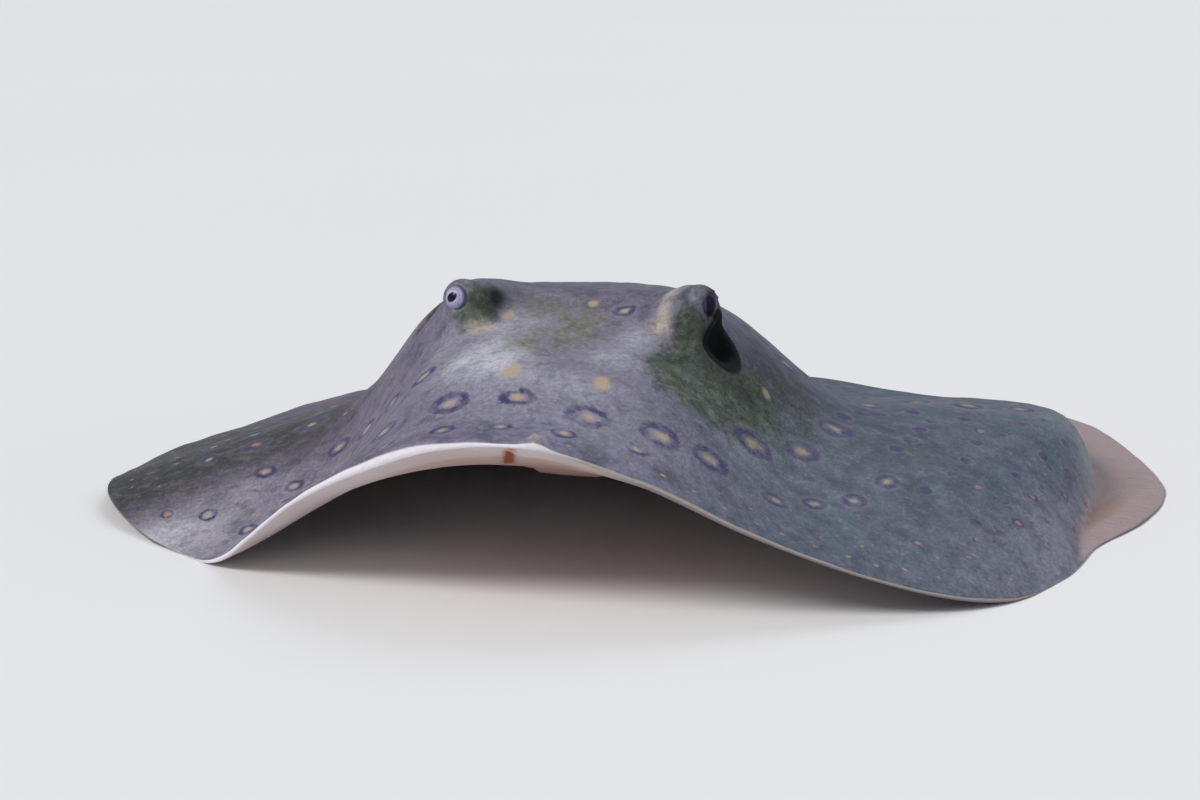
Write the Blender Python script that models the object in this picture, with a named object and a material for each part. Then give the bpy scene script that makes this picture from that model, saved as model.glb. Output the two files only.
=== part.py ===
"""Ocellate river stingray, a young animal at life size, lying with its snout raised.

Metres, +Z up. The head points to -Y, the tail to +Y, and the animal's left side is +X.
Shapes are drawn round the middle of the disc. An empty then brings the middle of the
animal's length and width to the origin, and the floor is at height 0.
"""
from math import cos, hypot, pi, radians, sin

import bmesh
import bpy
import numpy as np
from mathutils import Matrix, Vector

MM = 0.001
MIDDLE_X, MIDDLE_Y = 0.0051, 0.0675  # middle of the whole animal, from the disc's middle
GAP = 0.0004  # width of the thin cuts that part the flesh into nodes
FIT = 0.0003  # play round a piece that sits in another
SECTORS = 64  # round the disc

# Round the disc: bearing in degrees from the snout, + to the animal's left, and mm.
RIM_RADIUS = (
    (-180, 90), (-172, 95), (-160, 102), (-138, 104.5), (-110, 97.5), (-88, 100), (-70, 103.5), (-43, 98.5),
    (-20, 99.5), (0, 101), (22, 101.5), (48, 109.5), (56, 107), (68, 102.5), (79, 106),
    (92, 110.5), (108, 111.2), (122, 113.2), (140, 103.8), (160, 102), (172, 95),
)
RIM_LIFT = (
    (-180, -0.3), (-174, 0), (-166, 2.6), (-150, 1.6), (-110, 0.3), (-85, 1.4), (-66, 3), (-50, -0.5),
    (-42, -0.8), (-38, 1.1), (-34, 5.4), (-27, 13.7), (-18, 21.9), (-9, 27.8), (0, 29.2), (10, 23.7),
    (20, 15.2), (31, 7.2), (42, 1.3), (50, -0.5), (60, -0.5), (75, -0.4), (95, -0.4),
    (112, 0.8), (135, 2.2), (150, 1.6), (166, 2.6), (174, 0),
)
MID_LIFT = (
    (-180, -0.3), (-168, -0.2), (-150, 2), (-120, 6), (-90, 10.5), (-60, 14.7), (-30, 17.5), (0, 16),
    (30, 17), (60, 16.5), (90, 14.2), (120, 8), (150, 2), (168, -0.2),
)
DROOP = (  # how late the wing turns down on its way out: 1 is a straight slope
    (-180, 1.5), (-90, 1.1), (-40, 1.1), (0, 1.5), (30, 1.6), (50, 2.2), (65, 3.4), (78, 7.5),
    (88, 13), (108, 13), (128, 3), (150, 1.3),
)
FLANGE = (
    (-180, 0), (-120, 0), (-60, 0), (0, 0), (52, 0), (62, 0.005), (74, 0.065), (84, 0.105), (94, 0.125),
    (108, 0.12), (120, 0.08), (135, 0),
)
CURL = ((-180, 0), (-60, 0), (-45, 0.5), (-30, 1.7), (-15, 1.3), (0, 0.6), (20, 0), (90, 0))

# Along the body: y and mm.
BELLY = (
    (-101, 28.8), (-90, 25.4), (-75, 21.5), (-60, 18.5), (-45, 16.2), (-30, 13.5), (-10, 10),
    (10, 6), (28, 2.2), (44, -0.3), (110, -0.3),
)
BODY_HEIGHT = (
    (-101, 0), (-90, 5.1), (-75, 14.3), (-60, 19.5), (-45, 24.2), (-30, 24.9), (-10, 24.0),
    (10, 22), (30, 20.5), (50, 17.5), (75, 11.5), (92, 7.5),
)
BODY_HALF_WIDTH = (
    (-101, 28), (-85, 29), (-65, 30), (-45, 33), (-30, 35), (-10, 35), (15, 31), (45, 25),
    (75, 15), (92, 10),
)
RIDGE_X = -1.8  # the back's ridge lies a little to the animal's right
SHOULDER_AT, SHOULDER_SIZE, SHOULDER_HEIGHT = (-33.0, -38.5), (9.5, 13.0), 2.3
RIM_THICKNESS = 1.0
FIN_THICKNESS = 9.0

EYE_AT = (21.8, -52.0, 46.4)
EYE_RADIUS = 3.3
KNOB_AT = (20.0, -49.0, 43.6)
KNOB_SIZE = (5.7, 6.5, 5.8)
BROW_AT, BROW_SIZE, BROW_HEIGHT = (20.0, -46.0), (8.0, 8.0), 3.0
SPIRACLE_AT = {1: (26.2, -50.9, 39.3), -1: (-29.7, -41.4, 40.5)}
SPIRACLE_SIZE = {1: (4.6, 3.2, 4.2), -1: (2.7, 1.6, 3.5)}  # the right one is half closed
MOUTH_AT = (0.0, -63.0, 19.1)
MOUTH_SIZE = (8.0, 1.3, 2.6)
NOSTRIL_AT = (5.6, -68.5, 20.1)
NOSTRIL_SIZE = (1.6, 1.3, 2.0)

# Down the tail: y, half width and half height in mm.
TAIL = (
    (62, 13, 8), (92, 12, 6.6), (112, 9.6, 6.0), (132, 7.7, 5.3), (152, 6.1, 4.7),
    (172, 4.5, 4.0), (192, 3.0, 3.2), (212, 1.8, 2.2), (226, 1.1, 1.5), (236, 0.6, 0.9),
)
TAIL_PATH = (  # y, and mm to the animal's left
    (80, 0), (98, 0.5), (116, 3), (132, 3), (146, -3), (162, -15.5), (178, -29.5), (194, -43),
    (206, -50), (217, -51), (227, -45), (236, -36),
)
NECK_CUT, WING_CUT, TAIL_CUTS = -14, -8, (99, 148, 193)
WING_ROOT = (  # y, and mm from the middle line to the border between body and wing
    (-130, 41), (-20, 41), (5, 38), (30, 32), (55, 25), (80, 18.5), (105, 15), (130, 14.5),
)
TAIL_SIDES = 14
TAIL_ROWS = (62, 78, 92, 104, 116, 128, 138, 148, 160, 172, 184, 194, 202, 210, 217, 224, 230, 236)
TAIL_LIFT = 0.88  # height of the tail's middle, in half heights, so that its lower side is flat
FOLD_FROM, FOLD_OVER, FOLD_HEIGHT = 176, 22, 0.3  # the low fin folds behind the sting
STING_AT, STING_REACH, STING_WIDTH = 151, 31.0, 3.4
PELVIC_ROOT = (7.0, 80.0)
PELVIC_REACH = ((-14, 22), (10, 31), (35, 37), (60, 36), (80, 30), (100, 20))

SKIN_GREY = (0.135, 0.125, 0.155)
FIN_GREY = (0.120, 0.115, 0.135)
TAIL_BROWN = (0.120, 0.105, 0.095)
EYE_BLUE = (0.120, 0.130, 0.200)
BONE = (0.450, 0.400, 0.300)


def smooth(t):
    """Eases from 0 to 1."""
    t = np.clip(t, 0, 1)
    return t * t * (3 - 2 * t)


def through(stations, at, column=1):
    """The value at a place on a smooth curve through the stations."""
    x = np.array([s[0] for s in stations], float)
    v = np.array([s[column] for s in stations], float)
    slope = np.gradient(v, x)
    at = np.clip(at, x[0], x[-1])
    k = np.clip(np.searchsorted(x, at, side="right") - 1, 0, len(x) - 2)
    wide = x[k + 1] - x[k]
    t = (at - x[k]) / wide
    ease = t * t * (3 - 2 * t)
    start = t * (1 - t) ** 2 * slope[k] * wide
    end = t * t * (1 - t) * slope[k + 1] * wide
    return v[k] * (1 - ease) + v[k + 1] * ease + start - end


def around(stations, bearing):
    """The same round the disc, where the curve closes on itself."""
    before = [(a - 360, v) for a, v in stations[-2:]]
    after = [(a + 360, v) for a, v in stations[:2]]
    return through([*before, *stations, *after], (np.degrees(bearing) + 180) % 360 - 180)


def polar(x, y):
    """Bearing, and distance as a share of the way to the rim."""
    bearing = np.arctan2(x, -y)
    return bearing, np.hypot(x, y) / around(RIM_RADIUS, bearing)


def underside(x, y):
    """Height of the lower surface, in mm."""
    bearing, out = polar(x, y)
    mid, rim = around(MID_LIFT, bearing), around(RIM_LIFT, bearing)
    reach = np.clip((out - 0.5) / (0.5 - around(FLANGE, bearing)), 0, 1)
    wing = mid + (rim - mid) * reach ** around(DROOP, bearing)
    wing = wing + around(CURL, bearing) * np.clip((out - 0.88) / 0.12, 0, 1) ** 2
    wingward = smooth((out - 0.2) / 0.42)
    return through(BELLY, y) * (1 - wingward) + wing * wingward


def mound(x, y, centre, size):
    """A soft mound of height 1."""
    return np.exp(-(((x - centre[0]) / size[0]) ** 2) - ((y - centre[1]) / size[1]) ** 2)


def thickness(x, y):
    """Thickness of fin and body together, in mm."""
    out = polar(x, y)[1]
    fin = RIM_THICKNESS + FIN_THICKNESS * np.clip(1 - out, 0, 1) ** 1.05
    across = np.abs(x - RIDGE_X) / through(BODY_HALF_WIDTH, y)
    body = through(BODY_HEIGHT, y) * 0.5 ** (across**4)
    body = body + SHOULDER_HEIGHT * mound(x, y, SHOULDER_AT, SHOULDER_SIZE)
    return fin + body + BROW_HEIGHT * mound(np.abs(x), y, BROW_AT, BROW_SIZE)


def tail_x(y):
    """The tail's bends to the side, in mm."""
    return through(TAIL_PATH, y)


def slant(y):
    """How much wider than the tail its sections are, where it runs slantwise."""
    return np.hypot(1, tail_x(y + 0.5) - tail_x(y - 0.5))


def tail_half_height(y):
    """Half the tail's height in mm, with its fin folds."""
    return through(TAIL, y, 2) * (1 + FOLD_HEIGHT * smooth((y - FOLD_FROM) / FOLD_OVER))


def mesh_object(name, verts, faces):
    mesh = bpy.data.meshes.new(name)
    mesh.from_pydata([tuple(v) for v in verts], [], faces)
    bm = bmesh.new()
    bm.from_mesh(mesh)
    bmesh.ops.recalc_face_normals(bm, faces=bm.faces)
    bmesh.ops.triangulate(bm, faces=bm.faces)
    bm.to_mesh(mesh)
    bm.free()
    obj = bpy.data.objects.new(name, mesh)
    bpy.context.collection.objects.link(obj)
    return obj


def lofted(name, loops):
    """A closed solid through loops of equal length, capped at both ends."""
    sides = len(loops[0])
    verts = [p for loop in loops for p in loop]
    faces = [tuple(range(sides)), tuple(range(len(verts) - sides, len(verts)))]
    for row in range(len(loops) - 1):
        for k in range(sides):
            a, b = row * sides + k, row * sides + (k + 1) % sides
            faces.append((a, b, b + sides, a + sides))
    return mesh_object(name, verts, faces)


def disc():
    """The disc of body and wings: rings from the middle to the rim, above and below."""
    rings = np.array([0.12, 0.24, 0.34, 0.42, 0.5, 0.58, 0.66, 0.74, 0.82, 0.89, 0.95, 1])
    bearing = np.radians(np.arange(SECTORS) * 360 / SECTORS - 180)
    radius = around(RIM_RADIUS, bearing)
    x = np.concatenate([[0], np.outer(rings, radius * np.sin(bearing)).ravel()])
    y = np.concatenate([[0], np.outer(rings, -radius * np.cos(bearing)).ravel()])
    low = underside(x, y)
    high = low + thickness(x, y)
    low = np.maximum(low, 0)
    verts = np.concatenate([np.stack([x, y, high], 1), np.stack([x, y, low], 1)]) * MM
    count, faces = len(x), []
    for side in (0, count):
        for k in range(SECTORS):
            faces.append((side, side + 1 + k, side + 1 + (k + 1) % SECTORS))
            for row in range(len(rings) - 1):
                a = side + 1 + row * SECTORS + k
                b = side + 1 + row * SECTORS + (k + 1) % SECTORS
                faces.append((a, b, b + SECTORS, a + SECTORS))
    edge = 1 + (len(rings) - 1) * SECTORS
    for k in range(SECTORS):
        a, b = edge + k, edge + (k + 1) % SECTORS
        faces.append((a, b, b + count, a + count))
    return mesh_object("body", verts, faces)


def ellipsoid(name, centre, size, turn=Matrix(), segments=14, rings=8):
    """A closed ball of the given half sizes in mm, turned, at its place in mm."""
    bm = bmesh.new()
    scale = Matrix.Diagonal((*size, 1))
    place = Matrix.Scale(MM, 4) @ Matrix.Translation(centre) @ turn @ scale
    bmesh.ops.create_uvsphere(bm, u_segments=segments, v_segments=rings, radius=1, matrix=place)
    mesh = bpy.data.meshes.new(name)
    bm.to_mesh(mesh)
    bm.free()
    obj = bpy.data.objects.new(name, mesh)
    bpy.context.collection.objects.link(obj)
    return obj


def tail():
    """The tapering tail, its lower side flat on the floor, with its fin folds behind the sting."""
    loops = []
    for y in TAIL_ROWS:
        wide, high = through(TAIL, y, 1), tail_half_height(y)
        thin = 0.35 * smooth((y - FOLD_FROM) / FOLD_OVER)
        loop = []
        for k in range(TAIL_SIDES):
            a = 2 * pi * k / TAIL_SIDES
            up = sin(a) if sin(a) > 0 else 0.9 * sin(a)
            x = tail_x(y) + wide * slant(y) * cos(a) * (1 - thin * abs(sin(a)))
            loop.append((MM * x, MM * y, MM * max(high * (TAIL_LIFT + up), 0)))
        loops.append(loop)
    return lofted("tail", loops)


def pelvic_fin(side, name, spare=0.0):
    """A fan on the floor beside the vent, partly under the disc's rear edge."""
    (x0, y0), top, low = PELVIC_ROOT, [], []
    turns = range(-14, 101, 12)
    for turn in turns:
        a = radians(turn)
        reach = through(PELVIC_REACH, turn)
        aside = spare * ((turn == turns[-1]) - (turn == turns[0]))
        row_top, row_low = [], []
        for out, more in ((0.12, -1), (0.4, 0), (0.7, 0), (0.93, 0), (1, 1)):
            far = reach * out + more * spare
            x, y = x0 + far * cos(a) - aside * sin(a), y0 + far * sin(a) + aside * cos(a)
            z = 3.0 - 1.8 * out - 0.7 * (out == 1) + spare
            row_top.append((side * x * MM, y * MM, z * MM))
            row_low.append((side * x * MM, y * MM, -2 * spare * MM))
        top.append(row_top)
        low.append(row_low)
    return lofted(name, [a + b[::-1] for a, b in zip(top, low)])


def sting():
    """The flat, pointed spine that lies along the top of the tail."""
    loops = []
    for t in (0, 0.12, 0.4, 0.7, 0.9, 1.0):
        y = STING_AT + STING_REACH * t
        half = STING_WIDTH / 2 * slant(y) * (1 - 0.93 * t**1.6) * (0.75 if t == 0 else 1)
        z = tail_half_height(y) * (1 + TAIL_LIFT) + FIT / MM + 0.9 + 1.6 * t
        x = tail_x(y)
        flat = 0.65 * (1 - 0.6 * t)
        loops.append([
            (MM * (x + half), MM * y, MM * z), (MM * x, MM * y, MM * (z + flat)),
            (MM * (x - half), MM * y, MM * z), (MM * x, MM * y, MM * (z - flat)),
        ])
    return lofted("tail_sting", loops)


def wall(name, points):
    """A thin upright cutter through points in mm, given from end to end."""
    half, left, right = GAP / MM / 2, [], []
    for k, here in enumerate(points):
        back, ahead = points[max(k - 1, 0)], points[min(k + 1, len(points) - 1)]
        dx, dy = ahead[0] - back[0], ahead[1] - back[1]
        size = hypot(dx, dy)
        nx, ny = -dy / size * half, dx / size * half
        left.append((here[0] + nx, here[1] + ny))
        right.append((here[0] - nx, here[1] - ny))
    outline = left + right[::-1]
    low = [(x * MM, y * MM, -20 * MM) for x, y in outline]
    high = [(x * MM, y * MM, 80 * MM) for x, y in outline]
    count, faces = len(outline), []
    quads = [(k, k + 1, count - 2 - k, count - 1 - k) for k in range(len(points) - 1)]
    for quad in quads:
        faces.append(quad)
        faces.append(tuple(count + k for k in quad))
    for k in range(count):
        faces.append((k, (k + 1) % count, count + (k + 1) % count, count + k))
    return mesh_object(name, low + high, faces)


def combined(obj, other, operation):
    """Applies one exact Boolean with the other object, and removes that object."""
    cut = obj.modifiers.new(operation.lower(), "BOOLEAN")
    cut.operation, cut.object, cut.solver = operation, other, "EXACT"
    bpy.context.view_layer.update()
    result = bpy.data.meshes.new_from_object(obj.evaluated_get(bpy.context.evaluated_depsgraph_get()))
    obj.modifiers.remove(cut)
    obj.data = result
    bpy.data.objects.remove(other)
    return obj


def loose_parts(obj):
    """Splits an object into one object for each separate body of its mesh."""
    bm = bmesh.new()
    bm.from_mesh(obj.data)
    bm.faces.ensure_lookup_table()
    seen, parts = set(), []
    for first in bm.faces:
        if first.index in seen:
            continue
        seen.add(first.index)
        pile, own = [first], []
        while pile:
            face = pile.pop()
            own.append(face)
            for near in (f for e in face.edges for f in e.link_faces):
                if near.index not in seen:
                    seen.add(near.index)
                    pile.append(near)
        used = sorted({v.index for f in own for v in f.verts})
        place = {v: k for k, v in enumerate(used)}
        bm.verts.ensure_lookup_table()
        verts = [bm.verts[v].co.copy() for v in used]
        parts.append((verts, [tuple(place[v.index] for v in f.verts) for f in own]))
    bm.free()
    bpy.data.objects.remove(obj)
    return [mesh_object("part", verts, faces) for verts, faces in parts]


def side_turn(side, yaw, pitch):
    """Turns a shape drawn for the left side, and mirrors the turn for the right."""
    return Matrix.Rotation(radians(side * yaw), 4, "Z") @ Matrix.Rotation(radians(side * pitch), 4, "Y")


def mirrored(point, side):
    return (side * point[0], point[1], point[2])


def whole_body():
    """Disc, eye knobs and tail as one body, with its openings."""
    body = combined(disc(), tail(), "UNION")
    for side in (1, -1):
        body = combined(body, ellipsoid("knob", mirrored(KNOB_AT, side), KNOB_SIZE), "UNION")
    for side in (1, -1):
        room = EYE_RADIUS + FIT / MM
        body = combined(body, ellipsoid("socket", mirrored(EYE_AT, side), [room] * 3), "DIFFERENCE")
        pit = ellipsoid("spiracle", SPIRACLE_AT[side], SPIRACLE_SIZE[side], side_turn(side, -30, -36))
        body = combined(body, pit, "DIFFERENCE")
        nostril = ellipsoid("nostril", mirrored(NOSTRIL_AT, side), NOSTRIL_SIZE, segments=8, rings=6)
        body = combined(body, nostril, "DIFFERENCE")
        body = combined(body, pelvic_fin(side, "pelvic", FIT / MM), "DIFFERENCE")
    mouth = ellipsoid("mouth", MOUTH_AT, MOUTH_SIZE, segments=12, rings=6)
    return combined(body, mouth, "DIFFERENCE")


def wing_root(y):
    """Distance of the border between body and wing from the middle line, in mm."""
    return float(np.interp(y, *zip(*WING_ROOT)))


def parted(body):
    """Cuts the body along its natural borders."""
    for side in (1, -1):
        edge = [(side * x, y) for y, x in WING_ROOT]
        body = combined(body, wall("wing_cut", edge), "DIFFERENCE")
        across = [(side * wing_root(WING_CUT), WING_CUT), (side * 140, WING_CUT)]
        body = combined(body, wall("wing_middle_cut", across), "DIFFERENCE")
    neck = [(side * wing_root(NECK_CUT), NECK_CUT) for side in (-1, 1)]
    body = combined(body, wall("neck_cut", neck), "DIFFERENCE")
    for y in TAIL_CUTS:
        slope = (tail_x(y + 1) - tail_x(y - 1)) / 2
        ends = [(tail_x(y) - 13, y + 13 * slope), (tail_x(y) + 13, y - 13 * slope)]
        body = combined(body, wall("tail_cut", ends), "DIFFERENCE")
    return loose_parts(body)


def named(part):
    """The name of a parted piece, from where its middle lies."""
    corners = np.array([v.co for v in part.data.vertices]) / MM
    x, y = ((corners.min(0) + corners.max(0)) / 2)[:2]
    if abs(x) > 38 and y < 110:
        side = "left" if x > 0 else "right"
        return f"pectoral_fin_{side}_{'front' if y < WING_CUT else 'rear'}"
    for name, limit in (("head", NECK_CUT), ("trunk", TAIL_CUTS[0]), ("tail_base", TAIL_CUTS[1]),
                        ("tail_middle", TAIL_CUTS[2]), ("tail_tip", 400)):
        if y < limit:
            return name


def material(name, colour, roughness):
    made = bpy.data.materials.new(name)
    made.use_nodes = True
    shader = made.node_tree.nodes["Principled BSDF"]
    shader.inputs["Base Color"].default_value = (*colour, 1)
    shader.inputs["Roughness"].default_value = roughness
    shader.inputs["Metallic"].default_value = 0
    return made


def finish(obj, name, colour, roughness, root):
    obj.name = obj.data.name = name
    obj.data.materials.clear()
    obj.data.materials.append(material(name, colour, roughness))
    obj.data.shade_smooth()
    obj.data.set_sharp_from_angle(angle=radians(40))
    obj.parent = root


def build():
    for old in list(bpy.data.objects):
        bpy.data.objects.remove(old)
    root = bpy.data.objects.new("stingray", None)
    root.location = (-MIDDLE_X, -MIDDLE_Y, 0)
    bpy.context.collection.objects.link(root)
    for part in parted(whole_body()):
        name = named(part)
        colour = TAIL_BROWN if "tail" in name else FIN_GREY if "fin" in name else SKIN_GREY
        finish(part, name, colour, 0.45, root)
    for side, word in ((1, "left"), (-1, "right")):
        finish(pelvic_fin(side, "fin"), f"pelvic_fin_{word}", FIN_GREY, 0.45, root)
        ball = ellipsoid("eye", mirrored(EYE_AT, side), [EYE_RADIUS] * 3, segments=16, rings=10)
        finish(ball, f"eye_{word}", EYE_BLUE, 0.1, root)
    finish(sting(), "tail_sting", BONE, 0.4, root)


build()
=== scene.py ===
"""The looks of a young ocellate river stingray at life size, lying with its snout raised.

One skin covers the whole animal. Its shape is worked out in millimetres round the middle of
the disc: the head points to -Y, the tail to +Y, and the animal's left side is +X. The eyes,
the sting and the row of thorns on the tail are pieces of their own.
"""

from math import cos, pi, radians, sin

import bmesh
import bpy
import numpy as np
from mathutils import Matrix, Vector, noise


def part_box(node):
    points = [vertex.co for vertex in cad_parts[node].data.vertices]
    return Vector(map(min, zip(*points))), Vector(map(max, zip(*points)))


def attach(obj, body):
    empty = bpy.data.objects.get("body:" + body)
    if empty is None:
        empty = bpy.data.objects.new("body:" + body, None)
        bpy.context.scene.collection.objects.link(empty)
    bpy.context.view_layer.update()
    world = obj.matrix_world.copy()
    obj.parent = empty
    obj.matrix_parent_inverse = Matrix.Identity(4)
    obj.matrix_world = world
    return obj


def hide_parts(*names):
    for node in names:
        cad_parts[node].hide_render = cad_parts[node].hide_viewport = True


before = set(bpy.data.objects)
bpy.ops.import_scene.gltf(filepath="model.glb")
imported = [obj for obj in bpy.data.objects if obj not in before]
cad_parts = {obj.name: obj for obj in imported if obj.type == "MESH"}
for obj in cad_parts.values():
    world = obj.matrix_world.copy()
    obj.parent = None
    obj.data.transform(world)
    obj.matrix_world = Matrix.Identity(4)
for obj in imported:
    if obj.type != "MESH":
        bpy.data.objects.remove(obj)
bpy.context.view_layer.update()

MM = 0.001

# Round the disc: bearing in degrees from the snout, + to the animal's left, and mm.
RIM_RADIUS = (
    (-180, 90), (-172, 95), (-160, 102), (-138, 104.5), (-110, 97.5), (-88, 100), (-70, 103.5), (-43, 98.5),
    (-20, 99.5), (0, 101), (22, 101.5), (48, 109.5), (56, 107), (68, 102.5), (79, 106),
    (92, 110.5), (108, 111.2), (122, 113.2), (140, 103.8), (160, 102), (172, 95),
)
RIM_LIFT = (
    (-180, -0.3), (-174, 0), (-166, 2.6), (-150, 1.6), (-110, 0.3), (-85, 1.4), (-66, 3), (-50, -0.5),
    (-42, -0.8), (-38, 1.1), (-34, 5.4), (-27, 13.7), (-18, 21.9), (-9, 27.8), (0, 29.2), (10, 23.7),
    (20, 15.2), (31, 7.2), (42, 1.3), (50, -0.5), (60, -0.5), (75, -0.4), (95, -0.4),
    (112, 0.8), (135, 2.2), (150, 1.6), (166, 2.6), (174, 0),
)
MID_LIFT = (
    (-180, -0.3), (-168, -0.2), (-150, 2), (-120, 6), (-90, 10.5), (-60, 14.7), (-30, 17.5), (0, 16),
    (30, 17), (60, 16.5), (90, 14.2), (120, 8), (150, 2), (168, -0.2),
)
DROOP = (  # how late the wing turns down on its way out: 1 is a straight slope
    (-180, 1.5), (-90, 1.1), (-40, 1.1), (0, 1.5), (30, 1.6), (50, 2.2), (65, 3.4), (78, 7.5),
    (88, 13), (108, 13), (128, 3), (150, 1.3),
)
FLANGE = (  # share of the way in from the rim over which the fin lies flat on the floor
    (-180, 0), (-120, 0), (-60, 0), (0, 0), (52, 0), (62, 0.005), (74, 0.065), (84, 0.105), (94, 0.125),
    (108, 0.12), (120, 0.08), (135, 0),
)
# How far the rim itself turns up, in mm.
CURL = ((-180, 0), (-60, 0), (-45, 0.5), (-30, 1.7), (-15, 1.3), (0, 0.6), (20, 0), (90, 0))

# Along the body: y and mm.
BELLY = (
    (-101, 28.8), (-90, 25.4), (-75, 21.5), (-60, 18.5), (-45, 16.2), (-30, 13.5), (-10, 10),
    (10, 6), (28, 2.2), (44, -0.3), (110, -0.3),
)
BODY_HEIGHT = (
    (-101, 0), (-90, 5.1), (-75, 14.3), (-60, 19.5), (-45, 24.2), (-30, 24.9), (-10, 24.0),
    (10, 22), (30, 20.5), (50, 17.5), (75, 11.5), (92, 7.5),
)
BODY_HALF_WIDTH = (
    (-101, 28), (-85, 29), (-65, 30), (-45, 33), (-30, 35), (-10, 35), (15, 31), (45, 25),
    (75, 15), (92, 10),
)
RIDGE_X = -1.8  # the back's ridge lies a little to the animal's right
SHOULDER_AT, SHOULDER_SIZE, SHOULDER_HEIGHT = (-33.0, -38.5), (9.5, 13.0), 2.3
RIM_THICKNESS = 1.0
FIN_THICKNESS = 9.0

EYE_AT = np.array([21.8, -52.0, 46.4])
EYE_RADIUS = 3.3
# Degrees out from the snout to the eye's own side, and up: where the eyes look, and the lids open.
GAZE = {1: (48, 3), -1: (27, 12)}
LIDS = {1: (66, 4), -1: (17, 11)}
LID_RADIUS, LID_FORWARD, LID_THICKNESS = 2.1, 2.81, 0.42
KNOB_AT = np.array([20.0, -49.0, 43.6])
KNOB_SIZE = np.array([5.7, 6.5, 5.8])
BROW_AT, BROW_SIZE, BROW_HEIGHT = (20.0, -46.0), (8.0, 8.0), 3.0
SNOUT_BUMP_AT, SNOUT_BUMP_SIZE, SNOUT_BUMP_HEIGHT = (0.6, -99.9), (2.3, 1.7), 1.8
SPIRACLE_AT = {1: np.array([26.2, -50.9, 39.3]), -1: np.array([29.7, -41.4, 40.5])}
SPIRACLE_SIZE = {1: np.array([4.6, 3.2, 4.2]), -1: np.array([2.7, 1.6, 3.5])}
SPIRACLE_YAW, SPIRACLE_PITCH = -30, -36

# On the underside, for the left side where there are two: the gill slits run back from the first.
LIP_Y, NOSTRIL_AT, VENT_AT = -63, (6.6, -69.0), (0, 70)
GILL_SLITS, FIRST_GILL_AT, GILL_STEP, GILL_WAY = 5, (26.5, -41), (-2.3, 7.2), (0.94, 0.34)

# Down the tail: y, half width and half height in mm.
TAIL = (
    (62, 13, 8), (92, 12, 6.6), (112, 9.6, 6.0), (132, 7.7, 5.3), (152, 6.1, 4.7),
    (172, 4.5, 4.0), (192, 3.0, 3.2), (212, 1.8, 2.2), (226, 1.1, 1.5), (236, 0.6, 0.9),
)
TAIL_PATH = (  # y, and mm to the animal's left
    (80, 0), (98, 0.5), (116, 3), (132, 3), (146, -3), (162, -15.5), (178, -29.5), (194, -43),
    (206, -50), (217, -51), (227, -45), (236, -36),
)
TAIL_LIFT = 0.88  # height of the tail's middle, in half heights
TAIL_FROM, TAIL_SECTIONS = 95, 118  # y where the disc's rear edge ends, and sections drawn behind it
FOLD_FROM, FOLD_OVER, FOLD_HEIGHT = 176, 22, 0.3
STING_AT, STING_REACH, STING_WIDTH, STING_TEETH = 151, 31.0, 3.4, 30
STING_SECTION = (  # across and up, in half widths and half thicknesses
    (1, 0), (0.82, 0.5), (0.4, 0.85), (0, 0.7), (-0.4, 0.85), (-0.82, 0.5),
    (-1, 0), (-0.75, -0.5), (-0.4, -0.75), (0, -1), (0.4, -0.75), (0.75, -0.5),
)
THORNS_AT = np.arange(104, 149, 5.0)
THORN_SECTIONS = ((0, 1, 0), (0.35, 0.62, 0.1), (0.7, 0.34, 0.4), (0.95, 0.14, 0.85))  # up, width, lean

PELVIC_ROOT = (7.0, 80.0)
PELVIC_REACH = ((-14, 22), (10, 31), (35, 37), (60, 36), (80, 30), (100, 20))  # by turn, in degrees
PELVIC_TURN, PELVIC_MESH = (-14, 94), (40, 22)

# The skin's mesh: lines from the middle outward, rings round it, and rows down the tail.
LINES, ACROSS, BEAD = 416, 24, 4
TOP_RINGS, UNDER_RINGS = (104, 3.0), (60, 0.6)  # how many, and how much closer together at the head
# The part of the mesh that is settled onto the head: shares of the way out, and degrees aside.
HEAD_RINGS, HEAD_LINES = (0.3, 0.84), (9, 52)
TAIL_SIDE = 173  # bearing at which the rim meets the tail
TAIL_SHEET = 1.15  # the tail is laid out flat a little wider than it is

FLESH = (
    "head", "trunk", "pectoral_fin_left_front", "pectoral_fin_left_rear",
    "pectoral_fin_right_front", "pectoral_fin_right_rear", "pelvic_fin_left", "pelvic_fin_right",
    "tail_base", "tail_middle", "tail_tip",
)


def middle_of(node):
    """The middle of a frame part's box."""
    low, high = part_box(node)
    return (low + high) / 2


LEFT_EYE, RIGHT_EYE = middle_of("eye_left"), middle_of("eye_right")
DISC_MIDDLE = Vector(((LEFT_EYE.x + RIGHT_EYE.x) / 2, LEFT_EYE.y - EYE_AT[1] * MM, 0))


# ---------------------------------------------------------------- shape of the animal


def smooth(t):
    """Eases from 0 to 1."""
    t = np.clip(t, 0, 1)
    return t * t * (3 - 2 * t)


def mirrored(places, side):
    """Places drawn for the animal's left side, turned to the given one: 1 is left, -1 right."""
    return places * np.array([side, 1, 1])


def bell(t):
    """A soft bump of height 1 at 0."""
    return np.exp(-(t**2))


def through(stations, at, column=1):
    """The value at a place on a smooth curve through the stations."""
    x = np.array([s[0] for s in stations], float)
    v = np.array([s[column] for s in stations], float)
    slope = np.gradient(v, x)
    at = np.clip(at, x[0], x[-1])
    k = np.clip(np.searchsorted(x, at, side="right") - 1, 0, len(x) - 2)
    wide = x[k + 1] - x[k]
    t = (at - x[k]) / wide
    ease = t * t * (3 - 2 * t)
    start = t * (1 - t) ** 2 * slope[k] * wide
    end = t * t * (1 - t) * slope[k + 1] * wide
    return v[k] * (1 - ease) + v[k + 1] * ease + start - end


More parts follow.
